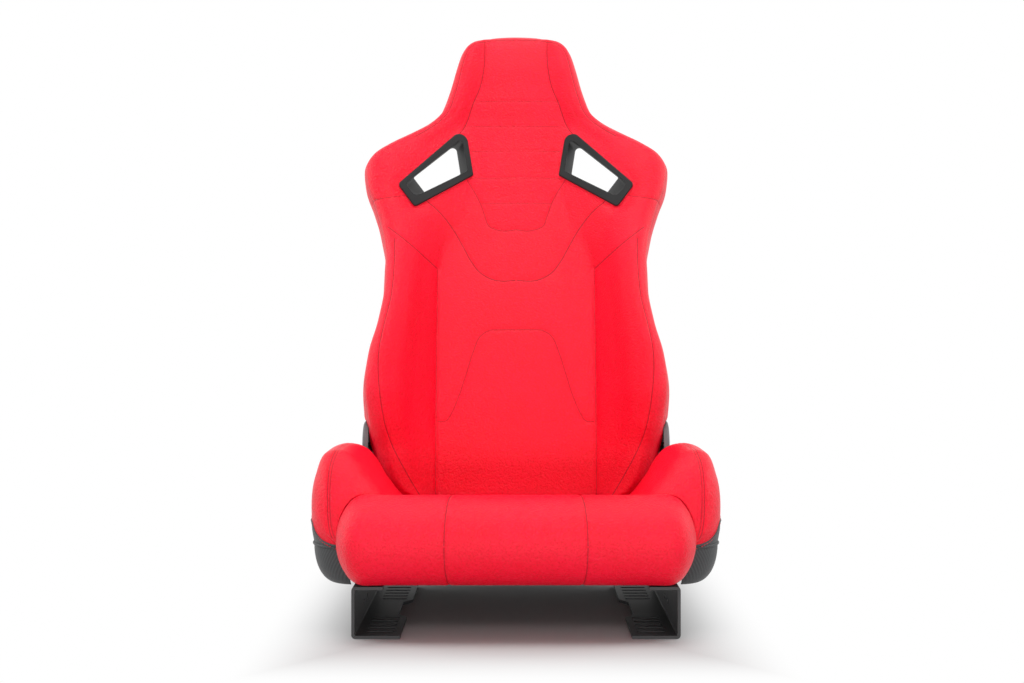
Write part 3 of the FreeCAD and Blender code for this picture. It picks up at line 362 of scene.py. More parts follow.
def steadied(line, reach=6):
    """A row of places with its small jitter averaged out."""
    long = np.concatenate([np.repeat(line[:1], reach, axis=0), line, np.repeat(line[-1:], reach, axis=0)])
    kernel = np.ones(2 * reach + 1) / (2 * reach + 1)
    return np.stack([np.convolve(long[:, k], kernel, "valid") for k in range(3)], axis=1)


def grid(rings):
    """The faces of a skin, as four point numbers each."""
    rows, columns = rings.shape[:2]
    k = np.arange(rows * columns).reshape(rows, columns)
    right = np.roll(k, -1, axis=1)
    return np.stack([k[:-1], right[:-1], right[1:], k[1:]], axis=-1)


def outward(rings, quads):
    """The faces of a skin turned to look out."""
    row, column = rings.shape[0] // 2, rings.shape[1] // 4
    a, b, c = (rings.reshape(-1, 3)[quads[row, column, corner]] for corner in (0, 1, 2))
    return quads if np.cross(b - a, c - b) @ facing(rings)[row, column] >= 0 else quads[..., ::-1]


def searched(rings):
    """The faces of a skin, to look up places on it."""
    return BVHTree.FromPolygons(rings.reshape(-1, 3).tolist(), outward(rings, grid(rings)).reshape(-1, 4).tolist())


def laid(line, faces, reach=6):
    """A line's places on a skin and the directions out of it there."""
    found = [faces.find_nearest(spot)[:2] for spot in line]
    return [steadied(np.array([list(one[k]) for one in found]), reach) for k in (0, 1)]


def whole(marked):
    """The faces of a skin whose four corners are all marked."""
    beside = np.roll(marked, -1, axis=1)
    return marked[:-1] & marked[1:] & beside[:-1] & beside[1:]


def linked(name, data):
    piece = bpy.data.objects.new(name, data)
    bpy.context.scene.collection.objects.link(piece)
    return piece


def built(name, points, faces, finish, seam=None):
    """A smooth piece with its finish, and the painted shade of its seams as a point attribute for the cloth's shader.
    """
    mesh = bpy.data.meshes.new(name)
    mesh.from_pydata(points, [], faces)
    if seam is not None:
        mesh.attributes.new("seam", "FLOAT", "POINT").data.foreach_set("value", seam)
    mesh.shade_smooth()
    mesh.materials.append(finish.material)
    piece = linked(name, mesh)
    return piece


def skin(name, rings, seam, finish, keep=None, ends=True):
    """A cover from rows of rings in millimetres, with its two ends closed."""
    points = np.concatenate([rings.reshape(-1, 3), rings[:1].mean(axis=1), rings[-1:].mean(axis=1)]) * MM
    quads = grid(rings)
    faces = (quads.reshape(-1, 4) if keep is None else quads[keep]).tolist()
    if ends:
        end = rings.shape[0] * rings.shape[1]
        faces += [[right, here, end] for here, right in quads[0, :, :2].tolist()]
        faces += [[here, right, end + 1] for right, here in quads[-1, :, 2:].tolist()]
    piece = built(name, points.tolist(), faces, finish, np.concatenate([seam.reshape(-1), [0, 0]]))
    work = bmesh.new()
    work.from_mesh(piece.data)
    bmesh.ops.delete(work, geom=[v for v in work.verts if not v.link_faces], context="VERTS")
    bmesh.ops.recalc_face_normals(work, faces=work.faces)
    work.to_mesh(piece.data)
    work.free()
    return piece


def seam_shade_strips(name, plain, rings, lines, body, width=2.0):
    """Painted shade along seams: narrow strips of the cover, dark in the middle, laid in the seams' grooves; each line
    comes with how dark it is.

    The lines lie on the plain cover, the strips on the sewn one."""
    under, over = searched(plain), searched(rings)
    points, faces, shade = [], [], []
    for line, dark in lines:
        spots, out = laid(line, under)
        out = unit(out)
        for k in range(len(spots)):
            hit = over.ray_cast(Vector(spots[k] + out[k] * 8.0), Vector(-out[k]), 20.0)[0]
            if hit is not None:
                spots[k] = hit
        side = unit(np.cross(out, np.gradient(steadied(spots, 3), axis=0))) * width / 2
        base = len(points)
        for spot, away, across in zip(spots, out, side):
            points += [tuple((spot + across * part + away * lift) * MM)
                       for part, lift in ((1, 0.05), (0.4, 0.32), (-0.4, 0.32), (-1, 0.05))]
        faces += [(base + k + c, base + k + c + 1, base + k + c + 5, base + k + c + 4)
                  for k in range(0, 4 * len(spots) - 4, 4) for c in range(3)]
        # painted shade: each strip is dark in its middle and fades to the cover's colour at its edges
        shade += [0.0, dark, dark, 0.0] * len(spots)
    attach(built(name, points, faces, suede_cloth, shade), body)


CLOTH_PITCH, CLOTH_PRESSURE, CLOTH_FRAMES = 4, 4.0, 20


def blown(rings, held, cap):
    """How far the foam blows the cover out between its seams, up to a cap: a cloth simulation."""
    rows = np.append(np.arange(0, len(rings) - 1, CLOTH_PITCH), len(rings) - 1)
    columns = np.arange(0, rings.shape[1], CLOTH_PITCH)
    loose = rings[np.ix_(rows, columns)] * MM
    mesh = bpy.data.meshes.new("pad_cloth")
    quads = outward(loose, grid(loose)[..., (0, 3, 2, 1)])
    mesh.from_pydata(loose.reshape(-1, 3).tolist(), [], quads.reshape(-1, 4).tolist())
    piece = linked("pad_cloth", mesh)
    pins = piece.vertex_groups.new(name="sewn_down")
    pins.add(np.flatnonzero(held[np.ix_(rows, columns)]).tolist(), 1.0, "REPLACE")
    cloth = piece.modifiers.new("cloth", "CLOTH")
    cloth.settings.vertex_group_mass = "sewn_down"
    cloth.settings.use_pressure = True
    cloth.settings.uniform_pressure_force = CLOTH_PRESSURE
    cloth.settings.effector_weights.gravity = 0.0
    cloth.settings.mass = 0.3
    cloth.point_cache.frame_end = CLOTH_FRAMES
    for frame_number in range(CLOTH_FRAMES):
        bpy.context.scene.frame_set(frame_number + 1)
    shape = piece.evaluated_get(bpy.context.evaluated_depsgraph_get()).data
    moved = np.empty(loose.size, dtype=np.float32)
    shape.vertices.foreach_get("co", moved)
    lift = ((moved.reshape(loose.shape) - loose) * facing(loose)).sum(axis=2) / MM
    bpy.data.objects.remove(piece)
    bpy.data.meshes.remove(mesh)
    bpy.context.scene.frame_set(1)
    lift = cap * np.tanh(np.clip(lift, 0, None) / cap)
    lift = picked(lift, rows, np.arange(len(rings)))
    lift = np.concatenate([lift, lift[:, :1]], axis=1)
    lift = picked(lift.T, np.append(columns, rings.shape[1]), np.arange(rings.shape[1])).T
    for smoothing in range(12):
        lift = (lift + np.roll(lift, 1, axis=1) + np.roll(lift, -1, axis=1)) / 3
        lift[1:-1] = (lift[1:-1] + lift[2:] + lift[:-2]) / 3
    return lift


def sewn(rings, gap, groove, width, puff, reach, calm):
    """Pulls the cover down along its seams and lets the foam blow it out between them."""
    held = (gap < 5.0) | (calm < 0.05)
    held[[0, -1]] = True
    lift = blown(rings, held, puff) * (1 - bell(gap, reach * 0.4))
    pull = -groove * bell(gap, width) * np.clip(calm * 2, 0, 1)
    return rings + facing(rings) * (pull + (lift - puff * 0.75) * calm)[..., None]


CENTRE_HALF, CENTRE_BASE, CENTRE_CROWN = 184.0, 97.5, 5.0
CENTRE_TOP = ((-196, 199), (-120, 191), (-40, 178), (60, 165), (150, 155), (256, 148))
CENTRE_ROWS, TOP_COLUMNS, WALL_COLUMNS, BASE_COLUMNS = 170, 170, 30, 58


def between(y_share, x, z):
    """A point's place from front to back between the roll and the swinging backrest."""
    back_reach = 73.8 + 14.0 * eased((np.abs(x) - 122.0) / 14.0)
    front = ROLL_Y + chord(ROLL_RADIUS + 0.8, z - ROLL_Z)
    return front + y_share * (np.minimum(255.0, PIVOT_Y - chord(back_reach, z - PIVOT_Z)) - front)


top_x = np.linspace(-1, 1, TOP_COLUMNS)
round_over = np.sign(top_x) * (1 - (1 - np.abs(top_x)) ** 1.15)
share = np.linspace(0, 1, CENTRE_ROWS)[:, None]
across = np.concatenate([round_over * CENTRE_HALF, np.full(WALL_COLUMNS, CENTRE_HALF),
                         np.linspace(CENTRE_HALF, -CENTRE_HALF, BASE_COLUMNS + 2)[1:-1],
                         np.full(WALL_COLUMNS, -CENTRE_HALF)])
edge_drop = 9.0 * np.abs(top_x) ** 14
fall = np.linspace(0, 1, WALL_COLUMNS + 1)[1:]
down = np.concatenate([np.zeros(TOP_COLUMNS), fall, np.ones(BASE_COLUMNS), 1 - np.append(0, fall[:-1])])
level = np.full((CENTRE_ROWS, len(across)), 170.0)
for attempt in range(4):
    y = between(share, across, level)
    top = flowing(CENTRE_TOP, y.reshape(-1)).reshape(y.shape)
    crown = np.concatenate([CENTRE_CROWN * (1 - top_x ** 2) - edge_drop,
                            np.full(2 * WALL_COLUMNS + BASE_COLUMNS, -edge_drop[0])])
    level = (top + crown) * (1 - down) + CENTRE_BASE * down
centre_rings = placed(across, y, level)
SEAM_X, SEAM_BOW = 92.0, 4.0
bowed = SEAM_X + SEAM_BOW * np.sin(np.linspace(0, 3.1, 400))
centre_seams = [placed(side * bowed, np.linspace(-150, 215, 400), 0.0) for side in (-1, 1)]
centre_seams += [placed(np.linspace(-SEAM_X, SEAM_X, 240), depth, 0.0) for depth in (-40.0, 30.0, 100.0)]
for line in centre_seams:
    for spot in line:
        row = centre_rings[np.abs(centre_rings[:, TOP_COLUMNS // 2, 1] - spot[1]).argmin(), :TOP_COLUMNS]
        spot[2] = np.interp(spot[0], row[:, 0], row[:, 2])
centre_gap = nearness(centre_rings, centre_seams)
calm = np.clip(np.minimum(share * 12, (1 - share) * 12), 0, 1) * (1 - down)[None, :]
centre_skin = sewn(centre_rings, centre_gap, groove=2.0, width=2.2, puff=4.0, reach=20.0, calm=calm)
# painted shade along the seams: the cover darkens at them and dark strips lie in their grooves
centre = skin("seat_centre_cover", centre_skin, SEAM_PAINTED_SHADE * bell(centre_gap), suede_cloth)
seam_shade_strips("seat_centre_seam_shade", centre_rings, centre_skin, [(line, 0.8) for line in centre_seams], "base")
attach(centre, "base")
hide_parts("cushion_centre")

# Front roll: a thick round roll of soft foam in its own cover of three lengths, sewn together round
# the roll and closed underneath. It fills the gap between the bolsters' noses.

ROLL_STRAIGHT, ROLL_END, ROLL_SHOULDER = 215.0, 45.0, 34.0
ROLL_SEAM, ROLL_SEAM_DRIFT = 101.0, 6.75
drop = ROLL_RADIUS - ROLL_SHOULDER
dome = (ROLL_END ** 2 + drop ** 2 - ROLL_SHOULDER ** 2) / (2 * (ROLL_END - ROLL_SHOULDER))
turn = math.atan2(drop, dome - ROLL_END)
shoulder_at = np.linspace(math.pi / 2, turn, 22)
dome_at = np.linspace(turn, 0.0, 16)[1:-1]
side_x = np.concatenate([np.linspace(0, ROLL_STRAIGHT, 106)[:-1],
                         ROLL_STRAIGHT + ROLL_SHOULDER * np.cos(shoulder_at),
                         ROLL_STRAIGHT + ROLL_END - dome + dome * np.cos(dome_at)])
side_r = np.concatenate([np.full(105, ROLL_RADIUS), drop + ROLL_SHOULDER * np.sin(shoulder_at),
                         dome * np.sin(dome_at)])
roll_x = np.concatenate([-side_x[::-1], side_x[1:]])[:, None]
roll_r = np.concatenate([side_r[::-1], side_r[1:]])[:, None]
angle = np.linspace(0, 2 * math.pi, 170, endpoint=False)


def on_roll(x, radius):
    return placed(x, ROLL_Y - radius * np.cos(angle), ROLL_Z + radius * np.sin(angle))


roll_rings = on_roll(roll_x, roll_r)
round_seams = []
for side in (-1, 1):
    ring = on_roll(side * (ROLL_SEAM - ROLL_SEAM_DRIFT * (1 - np.cos(angle))), ROLL_RADIUS)
    round_seams.append(dense(np.concatenate([ring, ring[:1]])))
roll_gap = nearness(roll_rings, round_seams)
calm = eased((258.0 - np.abs(roll_rings[..., 0])) / 80.0)
roll_skin = sewn(roll_rings, roll_gap, groove=1.8, width=1.9, puff=1.8, reach=14.0, calm=calm)
# painted shade along the round seams: the cover darkens at them and dark strips lie in their grooves
roll = skin("front_roll_cover", roll_skin, SEAM_PAINTED_SHADE * bell(roll_gap, 1.3), suede_cloth)
seam_shade_strips("front_roll_seam_shade", roll_rings, roll_skin, [(line, 0.9) for line in round_seams], "base")
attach(roll, "base")
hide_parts("front_roll")

# Side bolsters: tall moulded foam wings glued to the centre, in two panels each. The panels meet in
# a twin-needle seam that runs over the ridge and down the nose. The foot is stapled under the skirt.

BOLSTER_BASE, BOLSTER_INNER, BOLSTER_REAR, BACK_PART = 126.4, 185.6, 183.0, -100.0
BOLSTER_STATIONS = (
    (-200, 262, 268.5, 305, 172, 186), (-126, 262, 268.5, 305, 172, 186),
    (-60, 259, 270.5, 306, 172, 181), (20, 254, 263, 304, 170, 171),
    (90, 254, 249, 298, 166, 163), (145, 256, 234, 290, 162, 157),
    (183, 258, 214, 280, 158, 153))
WIDE_AT, WELT_AT, FOOT_AT = 118, 148, 178
NOSE_Y, NOSE_DEPTH, NOSE_MIDDLE = -126.0, 63.5, 243.0
WELT_LINE = ((-189, 130.2), (-180, 131.4), (-170, 135.5), (-161, 144), (-149, 159), (-138, 166.5),
             (-120, 170), (-60, 169.5), (90, 161.5), (183, 153))
SKIRT_HALF, SKIRT_FRONT, SKIRT_CORNER, TAPER_FROM, TAPER_TO, TAPER = 301.0, -180.0, 62.0, 70.0, 240.0, 19.0


def skirt_side(y):
    """How far out the skirt's top edge lies at a depth y."""
    front = SKIRT_HALF - SKIRT_CORNER + chord(SKIRT_CORNER, np.clip(SKIRT_FRONT + SKIRT_CORNER - y, 0, SKIRT_CORNER))
    return front - TAPER * np.clip((y - TAPER_FROM) / (TAPER_TO - TAPER_FROM), 0, 1)


def bolster_rings(y):
    """Rings of the bolster at depths y, one per row. One column of points follows the welt."""
    nose = np.sqrt(1 - np.clip((NOSE_Y - y) / NOSE_DEPTH, 0, 0.995) ** 2)
    ridge_x, ridge_z, wide_x, wide_z, inner_z = flowing(BOLSTER_STATIONS, y).T
    welt_z = flowing(WELT_LINE, y)[:, 0]
    foot_x = skirt_side(y) - 0.6
    base = np.full_like(y, BOLSTER_BASE)
    inner = NOSE_MIDDLE + nose * (BOLSTER_INNER - NOSE_MIDDLE)
    in_x, in_z, out_x, out_z = ridge_x - 16, ridge_z - 6, ridge_x + 21, ridge_z - 5
    in_x, ridge_x, out_x, wide_x = (NOSE_MIDDLE + nose * (x - NOSE_MIDDLE) for x in (in_x, ridge_x, out_x, wide_x))
    inner_z, in_z, ridge_z, out_z, wide_z = (base + nose * (z - base) for z in (inner_z, in_z, ridge_z, out_z, wide_z))
    keys = knots(
        (inner, inner_z), ((inner + in_x) / 2 + 3, (inner_z + in_z) / 2 + 3), (in_x, in_z), (ridge_x, ridge_z),
        (out_x, out_z), (out_x + 0.73 * (wide_x - out_x), out_z + 0.37 * (wide_z - out_z)), (wide_x, wide_z),
        (wide_x - 0.30 * (wide_x - foot_x), (wide_z + base) / 2), (foot_x, base))
    outside = threaded(keys, (24, 24, 12, 12, 22, 24, 30, 30))
    lower = outside[:, WIDE_AT:]
    spread = np.linspace(0, 1, WELT_AT - WIDE_AT + 1), np.linspace(0, 1, lower.shape[1] - (WELT_AT - WIDE_AT))
    for row, level in enumerate(welt_z):
        at = np.arange(lower.shape[1])
        cross = np.interp(-min(level, 0.8 * lower[row, 0, 1] + 0.2 * BOLSTER_BASE), -lower[row, :, 1], at)
        where = np.concatenate([spread[0] * cross, cross + spread[1][1:] * (at[-1] - cross)])
        lower[row] = picked(lower[row], at, where)
    floor = np.linspace(0, 1, 32)[None, 1:-1, None]
    bottom = outside[:, -1:] * (1 - floor) + np.stack([inner, base], axis=1)[:, None] * floor
    rise = np.linspace(0, 1, 12)[None, :-1, None]
    wall = np.stack([inner, base], axis=1)[:, None] * (1 - rise) + outside[:, :1] * rise
    flat = np.concatenate([outside, bottom, wall], axis=1)
    return placed(flat[..., 0], y[:, None], flat[..., 1])


def bolster_end(x, z):
    """How far back the bolster reaches at a point: it is hollowed for the backrest's wing."""
    hollow = PIVOT_Y - chord(101.5, z - PIVOT_Z)
    side = eased((x - 251.0) / 9.0)
    return np.minimum(182.0, hollow * (1 - side) + 182.0 * side)


turned = np.radians(np.linspace(8.0, 90.0, 72))
row_y = np.concatenate([NOSE_Y - NOSE_DEPTH * np.cos(turned)[:-1], np.linspace(NOSE_Y, BOLSTER_REAR, 144)])
rings = bolster_rings(row_y)
fine_y = np.linspace(BACK_PART, BOLSTER_REAR, 190)
fine_rings = bolster_rings(fine_y)
back_part = row_y > BACK_PART
back_share = (row_y[back_part][:, None] - BACK_PART) / (BOLSTER_REAR - BACK_PART)
for attempt in range(3):
    spread = BACK_PART + back_share * (bolster_end(rings[-1, :, 0], rings[-1, :, 2]) - BACK_PART)
    for c in range(rings.shape[1]):
        rings[back_part, c] = picked(fine_rings[:, c], fine_y, spread[:, c])
    rings[back_part, :, 1] = spread
tail = []
middle = rings[-1].mean(axis=0)
for size in (0.85, 0.65, 0.4, 0.15):
    ring = middle + (rings[-1] - middle) * size
    ring[:, 1] = bolster_end(ring[:, 0], ring[:, 2])
    tail.append(ring)
rings = np.concatenate([rings, np.stack(tail)])
# the nose is hollowed for the roll's end, with a rounded lip
roll_side = np.interp(rings[..., 0], side_x, side_r, right=0.0)
rise = np.abs(rings[..., 2] - ROLL_Z)
outline = [dense(placed(side_x, 0.0, ROLL_Z + up_down * side_r), 0.5) for up_down in (-1, 1)]
lip = nearness(rings * np.array([1, 0, 1]), outline)
hollow = np.where((rise < roll_side) & (rings[..., 0] < 260.0),
                  ROLL_Y + 1.0 + chord(roll_side, rise), ROLL_Y + 1.0 - 8.0 * (1 - bell(lip, 7.0)))
rings[..., 1] = np.maximum(rings[..., 1], hollow)

# the camera's place and focal length, to set a line where the photograph shows it
CAMERA_BACK, CAMERA_HEIGHT = -2245.0, 468.5
VANISH_X, VANISH_Y, FOCAL = 516.0, 314.0, 1422.2


def as_seen(places, rings):
    """The points of a skin that show at some places of the picture, on the +X side."""
    faces = searched(rings)
    spots = []
    for px, py in places:
        ray = Vector(((VANISH_X - px) / FOCAL, 1.0, (VANISH_Y - py) / FOCAL))
        hit = faces.ray_cast(Vector((0, CAMERA_BACK, CAMERA_HEIGHT)), ray)[0]
        if hit is not None:
            spots.append(list(hit))
    return np.array(spots)


RIDGE_AT = 60
over = [rings[np.abs(rings[:, RIDGE_AT, 1] - depth).argmin(), RIDGE_AT]
        for depth in (178.0, 130.0, 80.0, 30.0, -15.0, -55.0)]
down_nose = as_seen(((339.8, 447), (336, 451.8), (332, 461), (329.6, 472.5), (328.4, 485), (327.9, 500), (328.2, 515),
                     (330, 529), (334.5, 540)), rings)
twin, twin_out = laid(curved(np.concatenate([over, down_nose]), 1.0), searched(rings), 8)
sideways = unit(np.cross(twin_out, np.gradient(twin, axis=0))) * 2.1
needles = twin + sideways, twin - sideways
bolster_gap = nearness(rings, [dense(line) for line in needles])
calm = np.clip((rings[..., 2] - 150.0) / 20.0, 0, 1) * np.clip((rings[..., 0] - 195.0) / 12.0, 0, 1)
bolster_skin = sewn(rings, bolster_gap, groove=1.2, width=1.5, puff=1.6, reach=14.0, calm=calm)
vinyl_foot = np.zeros(rings.shape[:2], bool)
vinyl_foot[:, WELT_AT:FOOT_AT + 1] = True
vinyl_foot = whole(vinyl_foot)


def below_welt(row, distance):
    """A place on the bolster under its welt, or over it where the distance is negative."""
    strip = bolster_skin[row, WELT_AT:FOOT_AT + 1] if distance > 0 else bolster_skin[row, WELT_AT:WIDE_AT:-1]
    return picked(strip, lengths(strip), abs(distance))


welt_rows = range(int(np.abs(row_y - SKIRT_FRONT).argmin()), len(rings) - len(tail))
HEM_OVER_WELT, THREAD_UNDER_WELT = 5.5, 4.4
# painted shadow: a line just over the welt where the cover's hem turns under into shade
hem_shadow_line = np.array([below_welt(row, -HEM_OVER_WELT) for row in welt_rows])
for name, mirror in SIDES:
    shape = bolster_skin * mirror
    # painted shade along the twin-needle seam and over the welt: the cover darkens at the seam and dark strips lie
    # along both lines and the hem's shadow
    bolster = skin("bolster_cover_" + name, shape, SEAM_PAINTED_SHADE * bell(bolster_gap, 1.1), suede_cloth,
                   ~vinyl_foot)
    seam_shade_strips("bolster_seam_shade_" + name, rings * mirror, shape,
              [(line * mirror, dark) for line, dark in zip((*needles, hem_shadow_line), (0.85, 0.65, 0.45))], "base", 1.8)
    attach(bolster, "base")
    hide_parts("cushion_bolster_" + name)

# Skirts and rear cover: moulded trays wrapped in black vinyl with a printed twill pattern like
# carbon fibre. The skirts clip round the cushion's foot, the cover closes the back.


def twill(name):
    """Carbon-look vinyl: a two by two twill of flat yarns under a thin clear skin."""
    pitch = 0.0019
    vinyl = Finish(name, Specular_IOR_Level=0.38, Coat_Roughness=0.3)
    spot = vinyl.axes()
    across = (spot.of("X").math("ABSOLUTE") + spot.of("Y")) * (1 / pitch)
    up = spot.of("Z") * (1 / pitch)
    step = (across.math("FLOOR") + up.math("FLOOR")).math("FLOORED_MODULO", 4.0) > 1.5
    warp, weft = ((run.math("FRACT") * math.pi).math("SINE") for run in (up, across))
    yarn = warp * step + weft * (1 - step)
    vinyl.dress(vinyl.mix(step * 0.55 + yarn * 0.3, (0.020, 0.021, 0.022, 1), (0.066, 0.068, 0.070, 1)),
                0.40 + step * 0.14 + vinyl.noise(60.0, 3.0) * 0.1,
                yarn + step * 0.6 + vinyl.noise(900.0) * 0.2, 0.00012, 0.5)
    return vinyl


carbon = twill("carbon_look_vinyl")
finished(carbon, "carbon_vinyl", *both("side_skirt"), *both("piping"), "backrest_shell")
for name, mirror in SIDES:
    foot = skin("bolster_foot_" + name, bolster_skin * mirror, np.zeros(bolster_skin.shape[:2]), carbon,
                vinyl_foot, ends=False)
    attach(foot, "base")

# Welt and stitching at the bolster's foot: a plastic cord inside a strip of grey leatherette, and a
# row of red thread just under it that holds the skirt's wrap.

leatherette = Finish("grey_leatherette", Specular_IOR_Level=0.4)
hide = leatherette.node("ShaderNodeTexVoronoi", None, {"Vector": leatherette.place(), "Scale": 900.0}).of("Distance")
leatherette.dress(leatherette.mix(hide, (0.040, 0.044, 0.045, 1), (0.072, 0.078, 0.079, 1)),
                  0.5 + leatherette.noise(120.0) * 0.15, hide, 0.0002, 0.5)


def cord(name, line, radius, finish):
    """A round cord along a line in millimetres."""
    heading = unit(np.gradient(line, axis=0))
    one = unit(np.cross(heading, np.array([1.0, 0.0, 0.2])))[:, None]
    two = np.cross(heading[:, None], one)
    turn = np.linspace(0, 2 * math.pi, 10, endpoint=False)[None, :, None]
    rings = line[:, None] + radius * (np.cos(turn) * one + np.sin(turn) * two)
    return skin(name, rings, np.zeros(rings.shape[:2]), finish)


WELT_RADIUS, WELT_SUNK = 1.85, 0.4
bolster_out = facing(bolster_skin)
welt_line = bolster_skin[welt_rows, WELT_AT] - WELT_SUNK * bolster_out[welt_rows, WELT_AT]
for name, mirror in SIDES:
    welt = cord("welt_" + name, welt_line * mirror, WELT_RADIUS, leatherette)
    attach(welt, "base")

thread = Finish("red_thread", Specular_IOR_Level=0.3)
twist = thread.noise(1800.0)
thread.dress(thread.mix(twist, (0.62, 0.006, 0.02, 1), (0.86, 0.03, 0.06, 1)), 0.55, twist, 0.0001, 0.6)

STITCH, STITCH_PITCH, THREAD_RADIUS = 4.4, 5.0, 0.6


def stitches(name, line, outward_of):
    """A row of thread: each stitch is a short bead that dives into the cover at both ends."""
    points, faces = [], []
    ring = [(math.cos(a), math.sin(a)) for a in np.linspace(0, 2 * math.pi, 6, endpoint=False)]
    reach = lengths(line)
    for start in np.arange(1.0, reach[-1] - STITCH, STITCH_PITCH):
        base = len(points)
        for share, swell, lift in ((0.0, 0.5, -0.5), (0.2, 1.0, 0.25), (0.8, 1.0, 0.25), (1.0, 0.5, -0.5)):
            at = start + share * STITCH
            here, up = picked(line, reach, at), picked(outward_of, reach, at)
            side = unit(np.cross(unit(picked(line, reach, at + 0.5) - here), up))
            points += [tuple((here + up * (THREAD_RADIUS * lift - 0.1) + (side * a + up * b) * THREAD_RADIUS * swell)
                             * MM) for a, b in ring]
        faces += [[base + 6 * k + c, base + 6 * k + (c + 1) % 6, base + 6 * k + 6 + (c + 1) % 6, base + 6 * k + 6 + c]
                  for k in range(3) for c in range(6)]
    return built(name, points, faces, thread)


EDGE_Z, EDGE_RADIUS = 128.5, 2.2
seam_run, seam_out = [], []
for row in welt_rows:
    spot = below_welt(row, THREAD_UNDER_WELT)
    away = bolster_out[row, (WELT_AT + FOOT_AT) // 2]
    if spot[2] < EDGE_Z + EDGE_RADIUS:
        # no room on the foot here: the thread runs round the skirt's bead
        fall = np.clip(spot[2] - 3.0 - EDGE_Z, -1.6, EDGE_RADIUS - 0.1)
        depth = min(spot[1] - SKIRT_FRONT - SKIRT_CORNER, 0.0)
        away = np.array([chord(SKIRT_CORNER, depth), depth, 0.0]) / SKIRT_CORNER
        spot = np.array([skirt_side(spot[1]), spot[1], EDGE_Z + fall]) + away * chord(EDGE_RADIUS, fall)
    seam_run.append(spot)
    seam_out.append(away)
seam_run, seam_out = steadied(np.array(seam_run), 3), np.array(seam_out)
for name, mirror in SIDES:
    thread_row = stitches("welt_stitch_" + name, seam_run * mirror, seam_out * mirror)
    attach(thread_row, "base")

# Hinge covers and the tray behind the cushion: injection-moulded plastic with a fine spark-eroded
# texture. Each cover snaps over the disc recliner and takes three screws.


def moulded(name, colour, lighter, texture, rough):
    part = Finish(name, Specular_IOR_Level=0.22)
    cloud = part.noise(12.0, 4.0)
    spark = part.noise(texture, 3.0, 0.65)
    part.dress(part.mix(part.eased(cloud, 0.3, 0.75), colour, lighter), rough + spark * 0.16, spark, 0.00012, 0.5)
    return part


finished(moulded("cover_plastic", (0.15, 0.15, 0.155, 1), (0.19, 0.19, 0.195, 1), 1100.0, 0.42),
         "grey_plastic", *both("hinge_cover"))
finished(moulded("tray_plastic", (0.02, 0.02, 0.021, 1), (0.035, 0.035, 0.036, 1), 900.0, 0.5),
         "black_plastic", "rear_pan")

# Recline levers: flat steel arms on both ends of the rod, powder coated like the frame and fixed with
# one screw each. Their grips are moulded plastic, pressed on.

finished(frame_coat, "black_steel", *both("lever"))
finished(moulded("grip_plastic", (0.018, 0.018, 0.019, 1), (0.03, 0.03, 0.031, 1), 1300.0, 0.5),
         "black_plastic", *both("lever_grip"))

# Backrest cover: foam wings, insert, shoulders and headrest under one sewn cover of red microfibre
# suede. The panels are sewn first, pulled over the foam from above and hooked to the hoop along the
# crease between wing and insert. A twin-needle seam closes the cover all round at its outer edge.

LEAN = math.radians(13.0)
PAD_BACK, BACK_INSET, REACH = -18.0, 11.0, 71.6
BACK_STATIONS = (
    (-74, 207, 34, 22, 140, 33), (-30, 240, 32, 33, 140, 36),
    (15, 254, 34, 39, 140, 39), (60, 263.5, 36, 58, 140, 42),
    (120, 268.5, 34, 77, 140, 45), (180, 260, 29, 80, 140, 46),
    (240, 244, 26, 74, 140, 45), (300, 235.5, 25, 66, 140, 42),
    (350, 235, 25, 60, 134, 38), (400, 243, 27, 54, 116, 35),
    (450, 258, 28, 49, 98, 33), (495, 274.5, 28, 46, 90, 32),
    (530, 278.5, 30, 44, 90, 32), (556, 267, 30, 40, 92, 32),
    (580, 235, 28, 33, 94, 32), (602, 194.5, 25, 25, 94, 33),
    (622, 163, 23, 18, 90, 34), (645, 140.5, 22, 14, 82, 37),
    (690, 122.5, 22, 11, 68, 42), (735, 111, 22, 9, 59, 46),
    (764, 102.5, 23, 7, 56, 46), (783, 88, 24, 3, 52, 41),
    (793.5, 61, 20, -7, 38, 26))
INSERT_CROWN = 4.0


def on_backrest(points):
    """From across, up and forward of the hinge to the seat's frame, at the resting lean."""
    x, up, forward = points[..., 0], points[..., 1], points[..., 2]
    return placed(x, PIVOT_Y + up * math.sin(LEAN) - forward * math.cos(LEAN),
                  PIVOT_Z + up * math.cos(LEAN) + forward * math.sin(LEAN))


up = np.concatenate([np.arange(-74.0, 783.0, 2.4), 783.0 + 10.5 * np.sin(np.linspace(0, math.pi / 2, 12))])
half, band, wing, insert, front = flowing(BACK_STATIONS, up).T
tip, crest = front + wing, half - band
keys = knots(
    (half - BACK_INSET, np.full_like(up, PAD_BACK)), (half - 2.0, PAD_BACK + 0.15 * (tip - PAD_BACK)),
    (half, PAD_BACK + 0.40 * (tip - PAD_BACK)), (half - 0.13 * band, PAD_BACK + 0.68 * (tip - PAD_BACK)),
    (half - 0.38 * band, tip - 0.34 * band), (crest, tip),
    (insert + 0.72 * (crest - insert), front + 0.84 * wing),
    (insert + 0.36 * (crest - insert), front + 0.40 * wing), (insert, front))
side = threaded(keys, (8, 12, 14, 14, 16, 20, 24, 22))
middle = np.linspace(1, -1, 140)[None, 1:-1]
panel = np.stack([insert[:, None] * middle, front[:, None] + INSERT_CROWN * (1 - middle ** 2)], axis=-1)
other_side = side[:, ::-1] * np.array([-1, 1])
back_x = np.concatenate([np.linspace(-1, -0.8, 14)[1:], np.linspace(-0.8, 0.8, 40)[1:-1], np.linspace(0.8, 1, 14)[:-1]])
back = np.stack([(half - BACK_INSET)[:, None] * back_x[None], np.full((len(up), len(back_x)), PAD_BACK)], axis=-1)
section = np.concatenate([side, panel, other_side, back], axis=1)
front_columns = 2 * side.shape[1] + panel.shape[1]
